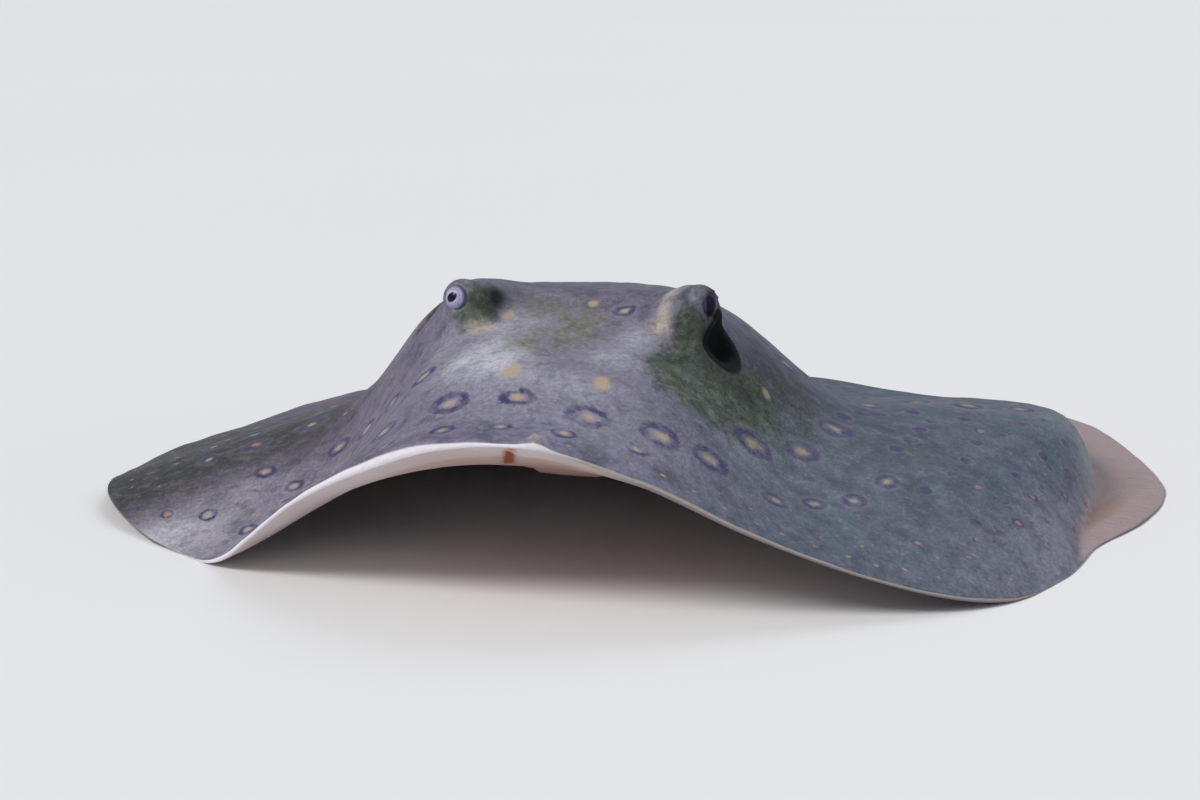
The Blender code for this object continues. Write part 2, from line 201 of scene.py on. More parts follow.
def around(stations, bearing):
    """The same round the disc, where the curve closes on itself."""
    before = [(a - 360, v) for a, v in stations[-2:]]
    after = [(a + 360, v) for a, v in stations[:2]]
    return through([*before, *stations, *after], (np.degrees(bearing) + 180) % 360 - 180)


def polar(x, y):
    """Bearing, and distance as a share of the way to the rim."""
    bearing = np.arctan2(x, -y)
    return bearing, np.hypot(x, y) / around(RIM_RADIUS, bearing)


def soft_max(a, b, width):
    """The larger of two heights, with a round fillet where they meet."""
    near = np.clip(width - np.abs(a - b), 0, None) / width
    return np.maximum(a, b) + near**2 * width / 4


def soft_min(a, b, width):
    """The smaller of two heights, filleted the same way."""
    return -soft_max(-a, -b, width)


def mound(x, y, centre, size):
    """A soft mound of height 1."""
    return np.exp(-(((x - centre[0]) / size[0]) ** 2) - ((y - centre[1]) / size[1]) ** 2)


def underside(x, y):
    """Height of the lower surface before it is pressed flat on the floor."""
    bearing, out = polar(x, y)
    mid, rim = around(MID_LIFT, bearing), around(RIM_LIFT, bearing)
    reach = np.clip((out - 0.5) / (0.5 - around(FLANGE, bearing)), 0, 1)
    wing = mid + (rim - mid) * reach ** around(DROOP, bearing)
    wing = wing + around(CURL, bearing) * np.clip((out - 0.88) / 0.12, 0, 1) ** 2
    wingward = smooth((out - 0.2) / 0.42)
    return through(BELLY, y) * (1 - wingward) + wing * wingward


def thickness(x, y):
    """Thickness of fin and body together."""
    out = polar(x, y)[1]
    fin = RIM_THICKNESS + FIN_THICKNESS * np.clip(1 - out, 0, 1) ** 1.05
    across = np.abs(x - RIDGE_X) / through(BODY_HALF_WIDTH, y)
    body = through(BODY_HEIGHT, y) * 0.5 ** (across**4)
    body = body + SHOULDER_HEIGHT * mound(x, y, SHOULDER_AT, SHOULDER_SIZE)
    return fin + body + BROW_HEIGHT * mound(np.abs(x), y, BROW_AT, BROW_SIZE)


def tail_x(y):
    """The tail's bends to the side."""
    return through(TAIL_PATH, y)


def slant(y):
    """How much wider than the tail its sections are, where it runs slantwise."""
    return np.hypot(1, tail_x(y + 0.5) - tail_x(y - 0.5))


def tail_half_height(y):
    """Half the tail's height, with its fin folds."""
    return through(TAIL, y, 2) * (1 + FOLD_HEIGHT * smooth((y - FOLD_FROM) / FOLD_OVER))


def tail_span(x, y):
    """Half the height of the tail's section over a place beside its middle line, as a share."""
    beside = (x - tail_x(y)) / (through(TAIL, y, 1) * slant(y))
    return np.sqrt(np.clip(1 - beside**2, 0, 1)), np.abs(beside) < 1


def upper(x, y):
    """Height of the upper surface, with the root of the tail in it."""
    disc = underside(x, y) + thickness(x, y)
    span, over = tail_span(x, y)
    tail = np.where(over, tail_half_height(y) * (TAIL_LIFT + span), -6)
    blended = soft_max(disc, tail, 3.0)
    return disc + (blended - disc) * smooth((y - 50) / 20)


def lower(x, y):
    """Height of the lower surface, pressed flat where it lies on the floor."""
    return np.maximum(underside(x, y), 0)


def sculpted(points, strength, scale, seed):
    """Soft irregular swelling of a surface, for each of its points."""
    shift = Vector((seed * 7.3, seed * 3.1, seed))
    values = [noise.noise(Vector(p) / scale + shift) for p in points.reshape(-1, 3)]
    return np.array(values).reshape(points.shape[:-1]) * strength


# ---------------------------------------------------------------- head: knobs, lids, spiracles


def spiracle_rows(side):
    """Rows that turn a place into shares of a spiracle's half sizes: depth, width, length."""
    yaw, pitch = radians(SPIRACLE_YAW), radians(SPIRACLE_PITCH)
    turn = Matrix.Rotation(yaw, 3, "Z") @ Matrix.Rotation(pitch, 3, "Y")
    return np.array(turn.transposed()) / SPIRACLE_SIZE[side][:, None]


def way(angles):
    """A direction out from the snout and up, drawn for the animal's left side."""
    aside, up = (radians(a) for a in angles)
    return np.array([sin(aside) * cos(up), -cos(aside) * cos(up), sin(up)])


def head_field(p, side):
    """Roughly how far a place is outside the head and its eye knob, in mm."""
    q = mirrored(p, side)
    head = (p[..., 2] - upper(p[..., 0], p[..., 1])) * 0.72
    knob = (np.linalg.norm((q - KNOB_AT) / KNOB_SIZE, axis=-1) - 1) * KNOB_SIZE[0]
    from_eye = q - EYE_AT
    forward = from_eye @ way(LIDS[side])
    aside = np.sqrt(np.maximum((from_eye**2).sum(-1) - forward**2, 0))
    shell = np.linalg.norm(from_eye, axis=-1) - EYE_RADIUS - 0.35
    ahead = from_eye - 4.6 * way(LIDS[side])
    opening = np.linalg.norm(ahead, axis=-1) - 3.0
    lid = np.hypot(aside - LID_RADIUS, forward - LID_FORWARD) - LID_THICKNESS
    shares = np.abs((q - SPIRACLE_AT[side]) @ spiracle_rows(side).T)
    pit = ((shares**1.7).sum(-1) ** (1 / 1.7) - 1) * SPIRACLE_SIZE[side][0]
    solid = soft_min(soft_min(head, knob, 2.2), shell, 1.0)
    solid = soft_min(soft_max(solid, -opening, 0.4), lid, 0.5)
    return soft_max(solid, -pit, 1.2)


def settle(points, side, rounds=110):
    """Relaxes a patch of the mesh onto the head's shape, with its edge held."""
    p = points.copy()
    step = 0.04
    for _ in range(rounds):
        inner = p[1:-1, 1:-1]
        mean = (p[:-2, 1:-1] + p[2:, 1:-1] + p[1:-1, :-2] + p[1:-1, 2:]) / 4
        inner = inner + 0.6 * (mean - inner)
        value = head_field(inner, side)
        ahead = [head_field(inner + step * axis, side) for axis in np.eye(3)]
        slope = np.stack([(a - value) / step for a in ahead], -1)
        size = np.maximum((slope**2).sum(-1), 0.15)
        p[1:-1, 1:-1] = inner - slope * np.clip(value / size, -1.0, 1.0)[..., None]
    return p


# ---------------------------------------------------------------- the skin's mesh


def spread(low, high, count, density):
    """Places from low to high that lie closer together where the density is higher."""
    fine = np.linspace(low, high, 6001)
    weight = density(fine)
    grown = np.concatenate([[0], np.cumsum((weight[1:] + weight[:-1]) / 2)])
    return np.interp(np.linspace(0, grown[-1], count), grown, fine)


def line_bearings():
    """Bearings of the mesh lines in degrees, from one side of the tail round to the other."""
    def density(a):
        return (
            1 + 3.2 * bell((np.abs(a) - 24) / 8) + 0.7 * bell(a / 60)
            + 1.6 * bell((TAIL_SIDE - np.abs(a)) / 5)
        )
    round_disc = spread(-TAIL_SIDE, TAIL_SIDE, LINES - ACROSS + 1, density)
    over_tail = np.linspace(TAIL_SIDE, 360 - TAIL_SIDE, ACROSS + 1)[1:-1]
    return np.radians(np.concatenate([round_disc, over_tail]))


def ring_shares(count, head_weight):
    """Places of the full rings, as shares of the way from the middle to the rim."""
    def density(out):
        return 0.75 + head_weight * bell((out - 0.57) / 0.09) + 1.6 * bell((1 - out) / 0.06)
    return spread(0.17, 1, count, density)


# Share of the way to the rim of the sparse rings in the middle, and every which line they use.
INNER_RINGS = ((0.02, 8), (0.045, 8), (0.07, 4), (0.095, 4), (0.12, 2), (0.145, 2))


class Skin:
    """The skin's points, each with its place on a flat layout, and its faces."""

    def __init__(self):
        self.points, self.flat, self.level, self.outward, self.faces = [], [], [], [], []
        self.count = 0

    def add(self, points, flat, level, outward=(0, 0)):
        """Adds points, and gives their numbers in the same arrangement."""
        shape = points.shape[:-1]
        amount = int(np.prod(shape))
        self.points.append(points.reshape(-1, 3))
        self.flat.append(np.broadcast_to(flat, (*shape, 2)).reshape(-1, 2))
        self.level.append(np.broadcast_to(level, shape).reshape(-1))
        self.outward.append(np.broadcast_to(outward, (*shape, 2)).reshape(-1, 2))
        numbers = np.arange(self.count, self.count + amount).reshape(shape)
        self.count += amount
        return numbers

    def strip(self, inner, outer, closed=True):
        """Faces between two rows. The outer row may have twice as many points."""
        n = len(inner)
        for k in range(n if closed else n - 1):
            a, b = inner[k], inner[(k + 1) % n]
            if len(outer) == n:
                self.faces.append((a, outer[k], outer[(k + 1) % n], b))
            else:
                c, m, d = outer[2 * k], outer[2 * k + 1], outer[(2 * k + 2) % len(outer)]
                self.faces += [(a, c, m), (a, m, b), (b, m, d)]

    def fan(self, centre, ring):
        """Faces from one point to a closed row."""
        for k in range(len(ring)):
            self.faces.append((centre, ring[k], ring[(k + 1) % len(ring)]))


def flat_places(out, bearing):
    """Places on the flat layout, from the share of the way to the rim and the bearing."""
    radius = around(RIM_RADIUS, bearing) * out
    return np.stack([radius * np.sin(bearing), -radius * np.cos(bearing)], -1)


def sheet(skin, surface, bearings, rings, level, relief=None, shaped=None):
    """One side of the disc. Gives the points and numbers of its outermost ring."""
    def raised(flat):
        return np.concatenate([flat, surface(flat[..., 0], flat[..., 1])[..., None]], -1)

    def finished(flat):
        return relief(raised(flat), flat) if relief else raised(flat)

    last = skin.add(finished(np.zeros((1, 2))), np.zeros((1, 2)), level)
    for out, step in INNER_RINGS:
        flat = flat_places(out, bearings[::step])
        row = skin.add(finished(flat), flat, level)
        if len(last) == 1:
            skin.fan(last[0], row)
        else:
            skin.strip(last, row)
        last = row
    flat = flat_places(*np.meshgrid(rings, bearings, indexing="ij"))
    points = finished(flat)
    if shaped:
        points = shaped(points, flat)
    rows = skin.add(points, flat, level)
    skin.strip(last, rows[0])
    for inner, outer in zip(rows[:-1], rows[1:]):
        skin.strip(inner, outer)
    return points[-1], rows[-1], flat[-1]


def soft_relief(points, flat):
    """Adds the snout's bump and the soft unevenness of live flesh."""
    x, y = flat[..., 0], flat[..., 1]
    out = polar(x, y)[1]
    calm = 1 - np.maximum(mound(np.abs(x), y, (22, -50), (13, 14)), smooth((y - 75) / 15))
    points[..., 2] += sculpted(points, 0.55, 17, 1) * calm * (1 - 0.5 * out)
    points[..., 2] += sculpted(points, 0.2, 5.5, 2) * calm
    points[..., 2] += SNOUT_BUMP_HEIGHT * mound(x, y, SNOUT_BUMP_AT, SNOUT_BUMP_SIZE)
    return points


def shape_head(points, flat):
    """Adds the eye knobs and spiracles."""
    bearing, out = polar(flat[..., 0], flat[..., 1])
    degrees = np.degrees(bearing[0])
    ring = np.nonzero((out[:, 0] > HEAD_RINGS[0]) & (out[:, 0] < HEAD_RINGS[1]))[0]
    for side in (1, -1):
        line = np.nonzero((degrees * side > HEAD_LINES[0]) & (degrees * side < HEAD_LINES[1]))[0]
        rows, lines = slice(ring[0], ring[-1] + 1), slice(line[0], line[-1] + 1)
        patch = points[rows, lines].copy()
        q = mirrored(patch, side)
        rise = 1 - (((q - KNOB_AT) / KNOB_SIZE)[..., :2] ** 2).sum(-1)
        dome = KNOB_AT[2] + KNOB_SIZE[2] * np.sqrt(np.maximum(rise, 0))
        patch[..., 2] = np.maximum(patch[..., 2], np.where(rise > 0, dome, -1))
        q = mirrored(patch, side)
        pit_rows, pit = spiracle_rows(side), SPIRACLE_AT[side]
        inward = pit_rows[0] / np.linalg.norm(pit_rows[0])
        shares = (q - pit) @ pit_rows.T
        deep = np.sqrt(np.maximum(1 - (shares[..., 1:] ** 2).sum(-1), 0)) * SPIRACLE_SIZE[side][0]
        target = q - inward * ((q - pit) @ inward + deep)[..., None]
        pushed = np.where((deep > 0)[..., None], target, q)
        points[rows, lines] = settle(mirrored(pushed, side), side)
    return points


def mouth_relief(x, y):
    """How far the underside is pushed in, and out where negative, by its openings."""
    ax = np.abs(x)
    lip_line = LIP_Y + 1.6 * (ax / 8) ** 2
    slit = bell((y - lip_line) / 0.75) * smooth((9.0 - ax) / 2.0)
    lips = bell((y - lip_line) / 2.4) * smooth((10.5 - ax) / 3.0)
    curtain = smooth((6.8 - ax) / 1.2) * smooth((y + 71.0) / 2.5) * smooth((lip_line - 0.9 - y) / 0.8)
    nostril = mound(ax, y, NOSTRIL_AT, (1.5, 1.2))
    push = 1.5 * slit - 0.8 * lips - 0.7 * curtain + 1.6 * nostril
    for k in range(GILL_SLITS):
        aside, behind = ax - FIRST_GILL_AT[0] - GILL_STEP[0] * k, y - FIRST_GILL_AT[1] - GILL_STEP[1] * k
        along = aside * GILL_WAY[0] + behind * GILL_WAY[1]
        over = behind * GILL_WAY[0] - aside * GILL_WAY[1] - 0.05 * along**2
        push = push + 1.0 * np.exp(-((along / 2.6) ** 4) - (over / 0.55) ** 2)
        push = push - 0.5 * np.exp(-((along / 3.4) ** 4) - ((over + 1.1) / 0.9) ** 2)
    return push + 1.3 * mound(x, y, VENT_AT, (1.0, 3.4)) + 0.6 * snout_crease(x, y)


def snout_crease(x, y):
    """The short crease that runs in from the rim below the snout, a little to the right."""
    across = (x + 4.6 + 0.2 * (y + 98)) / 0.8
    return bell(across) * smooth((y + 100.5) / 1.5) * smooth((-74 - y) / 8)


def shape_under(points, flat):
    """Adds the mouth, nostrils, gill slits and vent, and keeps the underside above the floor."""
    x, y = flat[..., 0], flat[..., 1]
    points[..., 2] = np.maximum(points[..., 2] + mouth_relief(x, y), 0)
    return points


def tail_loop(y, angles):
    """One section of the tail: a round core with its low fin folds above and below."""
    wide, core, high = through(TAIL, y, 1), through(TAIL, y, 2), tail_half_height(y)
    fold = high - core
    up = np.sin(angles)
    crest = fold * bell((np.abs(up) - 1) / 0.035) * np.sign(up)
    squashed = np.where(up > 0, up, 0.9 * up)
    z = np.maximum(high * TAIL_LIFT + core * squashed + crest, 0)
    x = tail_x(y) + wide * slant(y) * np.cos(angles)
    return np.stack([x, np.full_like(x, y), z], -1)


def tail_rows(skin, first_points, first_numbers):
    """The tail, drawn on from the open loop at the disc's rear edge to its tip."""
    turn = radians(10)
    top = np.linspace(turn, pi - turn, ACROSS + 1)
    corner = np.linspace(turn, -turn, BEAD + 2)[1:-1]
    angles = np.concatenate([top, pi - corner, -top[::-1], corner[::-1]])
    laid = pi / 2 - np.concatenate([top, np.full(BEAD, top[-1]), top[::-1], np.full(BEAD, top[0])])
    laid = laid / (pi / 2 - turn)
    steps = np.arange(1, BEAD + 1)
    level = np.concatenate([np.zeros(ACROSS + 1), steps, np.full(ACROSS + 1, BEAD + 1), steps[::-1]])
    outward = np.stack([np.sign(laid) * ((level > 0) & (level <= BEAD)), np.zeros(len(level))], -1)
    start_x = np.clip(first_points[:, 0], -11.6, 11.6)
    last, first = first_numbers, TAIL_FROM + 1

    def density(at):
        return slant(at) + 0.8 * bell((at - first) / 20)

    for y in spread(first, TAIL[-1][0], TAIL_SECTIONS, density):
        there = smooth((y - TAIL_FROM + 1) / 14)
        start = first_points + np.array([0, y - TAIL_FROM, 0])
        points = start * (1 - there) + tail_loop(y, angles) * there
        flat_x = tail_x(y) + laid * through(TAIL, y, 1) * slant(y) * TAIL_SHEET
        flat_x = start_x * (1 - there) + flat_x * there
        flat_y = (first_points[:, 1] + y - TAIL_FROM) * (1 - there) + y * there
        row = skin.add(points, np.stack([flat_x, flat_y], -1), level, outward)
        skin.strip(last, row)
        last = row
    end = points.mean(0) + np.array([0, 0.6, 0])
    tip = skin.add(end[None], np.array([[tail_x(y), y + 0.6]]), 0)
    skin.fan(tip[0], last)


def pelvic_fin(skin, side):
    """A fan on the floor beside the vent, partly under the disc's rear edge."""
    turns = np.linspace(*PELVIC_TURN, PELVIC_MESH[0])
    outs = spread(0.1, 1, PELVIC_MESH[1], lambda t: 1 + 2 * bell((1 - t) / 0.08))
    out, turn = np.meshgrid(outs, np.radians(turns), indexing="ij")
    reach = through(PELVIC_REACH, np.degrees(turn))
    x = side * (PELVIC_ROOT[0] + reach * out * np.cos(turn))
    y = PELVIC_ROOT[1] + reach * out * np.sin(turn)
    inner = np.minimum((turn - turn[0, 0]), (turn[0, -1] - turn)) / radians(8)
    edge = np.minimum(smooth((1 - out) / 0.06), smooth(inner))
    ripple = 0.12 * np.sin(turn * 46) * smooth((out - 0.35) / 0.3)
    top = np.stack([x, y, 0.55 + (2.5 - 1.9 * out) * edge ** 0.5 + ripple * edge], -1)
    low = np.stack([x, y, 0.45 * (1 - edge) + 0.15 * smooth((0.5 - out) / 0.25)], -1)
    flat = np.stack([x, y], -1)
    upper_rows, lower_rows = skin.add(top, flat, -1), skin.add(low, flat, -2)
    for rows in (upper_rows, lower_rows):
        for inner_row, outer_row in zip(rows[:-1], rows[1:]):
            skin.strip(inner_row, outer_row, closed=False)
    loop = [rows_edge(rows) for rows in (upper_rows, lower_rows)]
    skin.strip(loop[0], loop[1])


def rows_edge(rows):
    """The numbers round the border of a patch."""
    return np.concatenate([rows[0], rows[1:, -1], rows[-1, -2::-1], rows[-2:0:-1, 0]])


def build_skin():
    """The whole skin: both sides of the disc, the bead round its rim, the tail and the pelvic fins."""
    skin = Skin()
    bearings = line_bearings()
    top_points, top, rim = sheet(skin, upper, bearings, ring_shares(*TOP_RINGS), 0, soft_relief, shape_head)
    low_points, low, _ = sheet(skin, lower, bearings, ring_shares(*UNDER_RINGS), BEAD + 1, shape_under)
    sides = LINES - ACROSS + 1
    outward = np.stack([np.sin(bearings), -np.cos(bearings)], -1)[:sides]
    half = (top_points - low_points)[:sides, 2:] / 2
    middle = (top_points + low_points)[:sides] / 2
    bead_rows, bead_points = [], []
    for step in range(1, BEAD + 1):
        a = pi / 2 - pi * step / (BEAD + 1)
        points = middle.copy()
        points[:, :2] += outward * np.minimum(half, 0.6) * cos(a)
        points[:, 2:] += half * sin(a)
        bead_rows.append(skin.add(points, rim[:sides], step, outward))
        bead_points.append(points)
    rows = [top[:sides], *bead_rows, low[:sides]]
    for a, b in zip(rows[:-1], rows[1:]):
        skin.strip(a, b, closed=False)
    back = [*range(sides - 1, LINES), 0]
    loop = [
        *top[back], *(r[0] for r in bead_rows), *low[back[::-1]], *(r[-1] for r in bead_rows[::-1]),
    ]
    loop_points = [
        top_points[back], [p[0] for p in bead_points], low_points[back[::-1]],
        [p[-1] for p in bead_points[::-1]],
    ]
    tail_rows(skin, np.concatenate(loop_points), np.array(loop))
    for side in (1, -1):
        pelvic_fin(skin, side)
    return skin


# ---------------------------------------------------------------- markings, and painted light and shade

# Rows of spots on the front half: first and last bearing in degrees, mm in from the rim at each
# end, how many spots, and mm across.
OCELLUS_ROWS = (
    (-20, 20, 15, 17, 6, 7.0), (-17, 16, 6, 10, 6, 4.4), (20, 45, 25, 45, 4, 7.8),
    (26, 44, 16, 28, 4, 4.8), (-23, -44, 30, 32, 4, 5.6), (-28, -54, 20, 23, 4, 5.2),
    (-27, -51, 10, 10, 4, 4.2), (9, 9, 50, 50, 1, 4.6),
)
DARK_ROWS = (
    (50, 90, 14, 17, 6, 2.6), (48, 86, 24, 24, 7, 2.8), (52, 82, 36, 33, 6, 3.2), (54, 74, 48, 42, 4, 3.4),
)
ROSE_ROWS = ((40, 72, 12, 10, 5, 2.9), (56, 72, 20, 27, 2, 3.2), (-56, -56, 6, 42, 2, 3.0))
PLAIN_ROWS = ((-6, 6, 25, 25, 2, 4.4), (-14, 2, 44, 53, 2, 2.4), (34, 34, 46, 46, 1, 2.4))
# Those rows with a ring's strength, a centre's size and its tone, 0 cream to 1 rose.
FRONT_ROWS = (
    (OCELLUS_ROWS, 1.0, 0.42, 0.4), (DARK_ROWS, 1.1, 0, 0), (ROSE_ROWS, 0.9, 0.55, 1),
    (PLAIN_ROWS, 0, 0.9, 0),
)
ROW_UNEVENNESS = 0.5
# Rows parallel to the rim: mm in, mm between spots, mm across, and share of a ring's strength.
SPOT_ROWS = (
    (3.9, 5.2, 1.3, 0.0), (8.4, 6.4, 2.0, 0.5), (12.5, 8.6, 3.6, 1.0), (19.5, 12.0, 5.6, 1.0),
    (28.5, 13.5, 7.2, 1.0), (39.5, 15.0, 8.0, 1.0), (51.0, 15.5, 7.6, 0.9), (63.0, 15.5, 6.6, 0.8),
    (75.0, 15.0, 5.6, 0.7), (88.0, 14.0, 5.0, 0.6),
)
TAIL_SPOTS_AT = np.arange(99, 192, 8.0)
SPOTS_SEED = 11

# Soft patches of colour, of painted sheen and of painted shade: strength, middle, and reach to each side and
# lengthwise.
MOSS_PATCHES = (
    (1.05, 26, -61, 8, 9), (0.75, 21.5, -56, 3.2, 3), (0.9, 31.4, -53, 3.4, 5), (0.8, 19, -66.5, 6, 6),
    (1.4, -18.9, -54.4, 4.0, 3.6), (0.45, 40, -52, 10, 18), (0.45, 16.5, -62, 4, 4),
)
KHAKI_PATCHES = (
    (1.3, -6.0, -63.5, 5, 4.5), (0.8, 0, -59.5, 4, 4.5), (0.6, 2, -53, 8, 5), (0.4, -9, -50, 8, 6),
)
# Painted sheen and painted light: pale patches where the head's front and the wing ends catch the light.
LIT_PATCHES = (
    (1.25, -13.5, -69, 8, 7.5), (0.45, 0, -78, 12, 4), (0.6, 11.5, -58.5, 3.6, 3.6),
    (0.5, -10.6, -56, 6, 4), (0.5, 8, -67, 6, 5), (0.25, 31, -69, 5, 6), (0.35, -24, -59, 3, 4),
    (0.9, -77, -62, 9, 6), (0.25, 0, -86, 26, 6), (0.35, 93, 0, 7, 13), (0.14, 73, -4, 14, 6),
)
# Painted shade on the shaded sides of the eye knobs and beside the left spiracle.
DEEP_SHADE_PATCHES = (
    (1.1, -16.2, -51.8, 2.1, 2.8), (0.35, -12, -49.5, 3, 3), (0.5, 24.5, -56, 2.4, 3.0),
    (0.5, 30.5, -54, 4, 4.5),
)
CREAM_PATCHES = ((0.8, -17, -57.6, 3.2, 1.4), (1.0, 0.2, -99.5, 1.5, 1.4))
# Painted shade: patches darkened where the head and the wings lie in shade.
SHADED_PATCHES = ((0.75, 36, -42, 9, 12), (0.2, 14, -82, 14, 12), (0.22, 52, -44, 22, 13))
# The painted highlight on the lit ridge of the left brow: where it starts, how far it runs, and its width.
RIDGE_FROM, RIDGE_RUN, RIDGE_WIDTH = (15.4, -54.6), (3.0, 8.8), 1.8


def mounds(x, y, listed):
    """Several soft mounds added up: height, middle and size of each."""
    return sum(height * mound(x, y, (cx, cy), (wide, long)) for height, cx, cy, wide, long in listed)


def place_of(bearing, inset):
    """Flat place at a bearing in degrees and a distance in from the rim."""
    a = radians(bearing)
    radius = float(around(RIM_RADIUS, np.array(a))) - inset
    return np.array([radius * sin(a), -radius * cos(a)])


def front_spots(chance):
    """The spots of the front rows, less those that would touch one laid before."""
    spots = []
    for rows, ring, centre, tone in FRONT_ROWS:
        for first, last, inset_first, inset_last, count, across in rows:
            for share in np.linspace(0, 1, count):
                inset = inset_first + share * (inset_last - inset_first)
                place = place_of(first + share * (last - first), inset)
                size = across * (0.9 + 0.25 * chance.rand())
                place = place + (chance.rand(2) - 0.5) * across * ROW_UNEVENNESS * (count > 1)
                if room_for(spots, place, size) > 0.3:
                    spots.append((place, size, ring, centre, tone))
    return spots


def room_for(spots, place, size):
    """The least gap between a new spot and those already there."""
    return min([np.hypot(*(place - s[0])) - (size + s[1]) / 2 for s in spots], default=9)


def spot_list():
    """Flat place, mm across, ring strength, centre size and tone of every spot on the disc."""
    chance = np.random.RandomState(SPOTS_SEED)
    spots = front_spots(chance)
    for inset, gap, across, ring in SPOT_ROWS:
        bearing = -180 + 40 * chance.rand()
        end = bearing + 360
        while bearing < end:
            radius = float(around(RIM_RADIUS, np.array(radians(bearing)))) - inset
            bearing += np.degrees(gap / radius) * (0.85 + 0.3 * chance.rand())
            here = place_of(bearing, inset + gap * 0.16 * (chance.rand() - 0.5))
            size = across * (0.85 + 0.3 * chance.rand())
            turn = (bearing + 180) % 360 - 180
            filled = -62 < turn < 86 and (9 if 12 < turn < 50 else 5) < inset < 50 and here[1] < 0
            head = mound(abs(here[0]), here[1], (0, -50), (38, 24)) > 0.35
            if room_for(spots, here, size) > (0.6 if across < 3 else 1.5) and not (filled or head):
                spots.append((here, size, ring, 0.9 if ring == 0 else 0.42, chance.rand()))
    for y in TAIL_SPOTS_AT:
        wide = float(through(TAIL, y, 1))
        for k in (-1, 0, 1):
            beside = (0.5 * k + 0.12 * (chance.rand() - 0.5)) * wide * float(slant(y))
            at = np.array([float(tail_x(y)) + beside * TAIL_SHEET, y + 4 * (k != 0) + 2 * chance.rand()])
            spots.append((at, 0.42 * wide * (0.8 + 0.4 * chance.rand()), 0.7, 0.45, 0.3))
    return spots


def spot_frames(points, flat, top):
    """The spot that each point is nearest to, the point's place on it, and its kind."""
    best, owner = np.full(len(points), np.inf), np.full(len(points), -1)
    place, kind = np.zeros((len(points), 2)), np.zeros((len(points), 3))
    for number, (at, across, ring, centre, tone) in enumerate(spot_list()):
        near = np.nonzero(top & (np.abs(flat - at).max(1) < across * 1.6 + 3))[0]
        if not len(near):
            continue
        away = np.array([0, 1.0]) if at[1] > TAIL_FROM + 2 else at / np.linalg.norm(at)
        home = near[np.argmin(((flat[near] - at) ** 2).sum(1))]
        offset = points[near] - points[home] - np.append(at - flat[home], 0)
        shift = flat[near] - at
        plain = np.maximum(np.linalg.norm(shift, axis=1), 1e-6)
        stretch = np.clip(np.linalg.norm(offset, axis=1) / plain, 1, 2)
        longer = 1.6 if ring == 0 and across > 2 else 0.82
        radial = shift @ away * stretch / (across / 2 * longer)
        beside = shift @ np.array([-away[1], away[0]]) * stretch / (across / 2 * 1.06)
        far = np.hypot(radial, beside)
        closer = far < best[near]
        chosen = near[closer]
        best[chosen], owner[chosen] = far[closer], number
        place[chosen] = np.stack([beside[closer], radial[closer]], 1)
        kind[chosen] = ring, centre, tone
    return owner, place, kind


def spiracle_shade(points, level):
    """How dark the painted shade in the spiracles is: full on the left, faint on the half closed right one.
    """
    lining = np.zeros(len(points))
    for side, strength in ((1, 3), (-1, 0.7)):
        q = mirrored(points, side) - SPIRACLE_AT[side]
        rows = spiracle_rows(side)
        shares = np.linalg.norm(q @ rows.T, axis=1)
        depth = -q @ rows[0] / np.linalg.norm(rows[0])
        inside = smooth((1.5 - shares) / 0.35) * smooth((depth + 4.0) / 1.4) * (level == 0)
        lining = lining + strength * inside
    return lining


def brow_highlight(x, y):
    """A painted highlight on the lit ridge that runs up the left brow."""
    past, beyond = x - RIDGE_FROM[0], y - RIDGE_FROM[1]
    run, rise = RIDGE_RUN
    along = np.clip((past * run + beyond * rise) / (run**2 + rise**2), 0, 1)
    return 0.9 * bell(np.hypot(past - run * along, beyond - rise * along) / RIDGE_WIDTH)


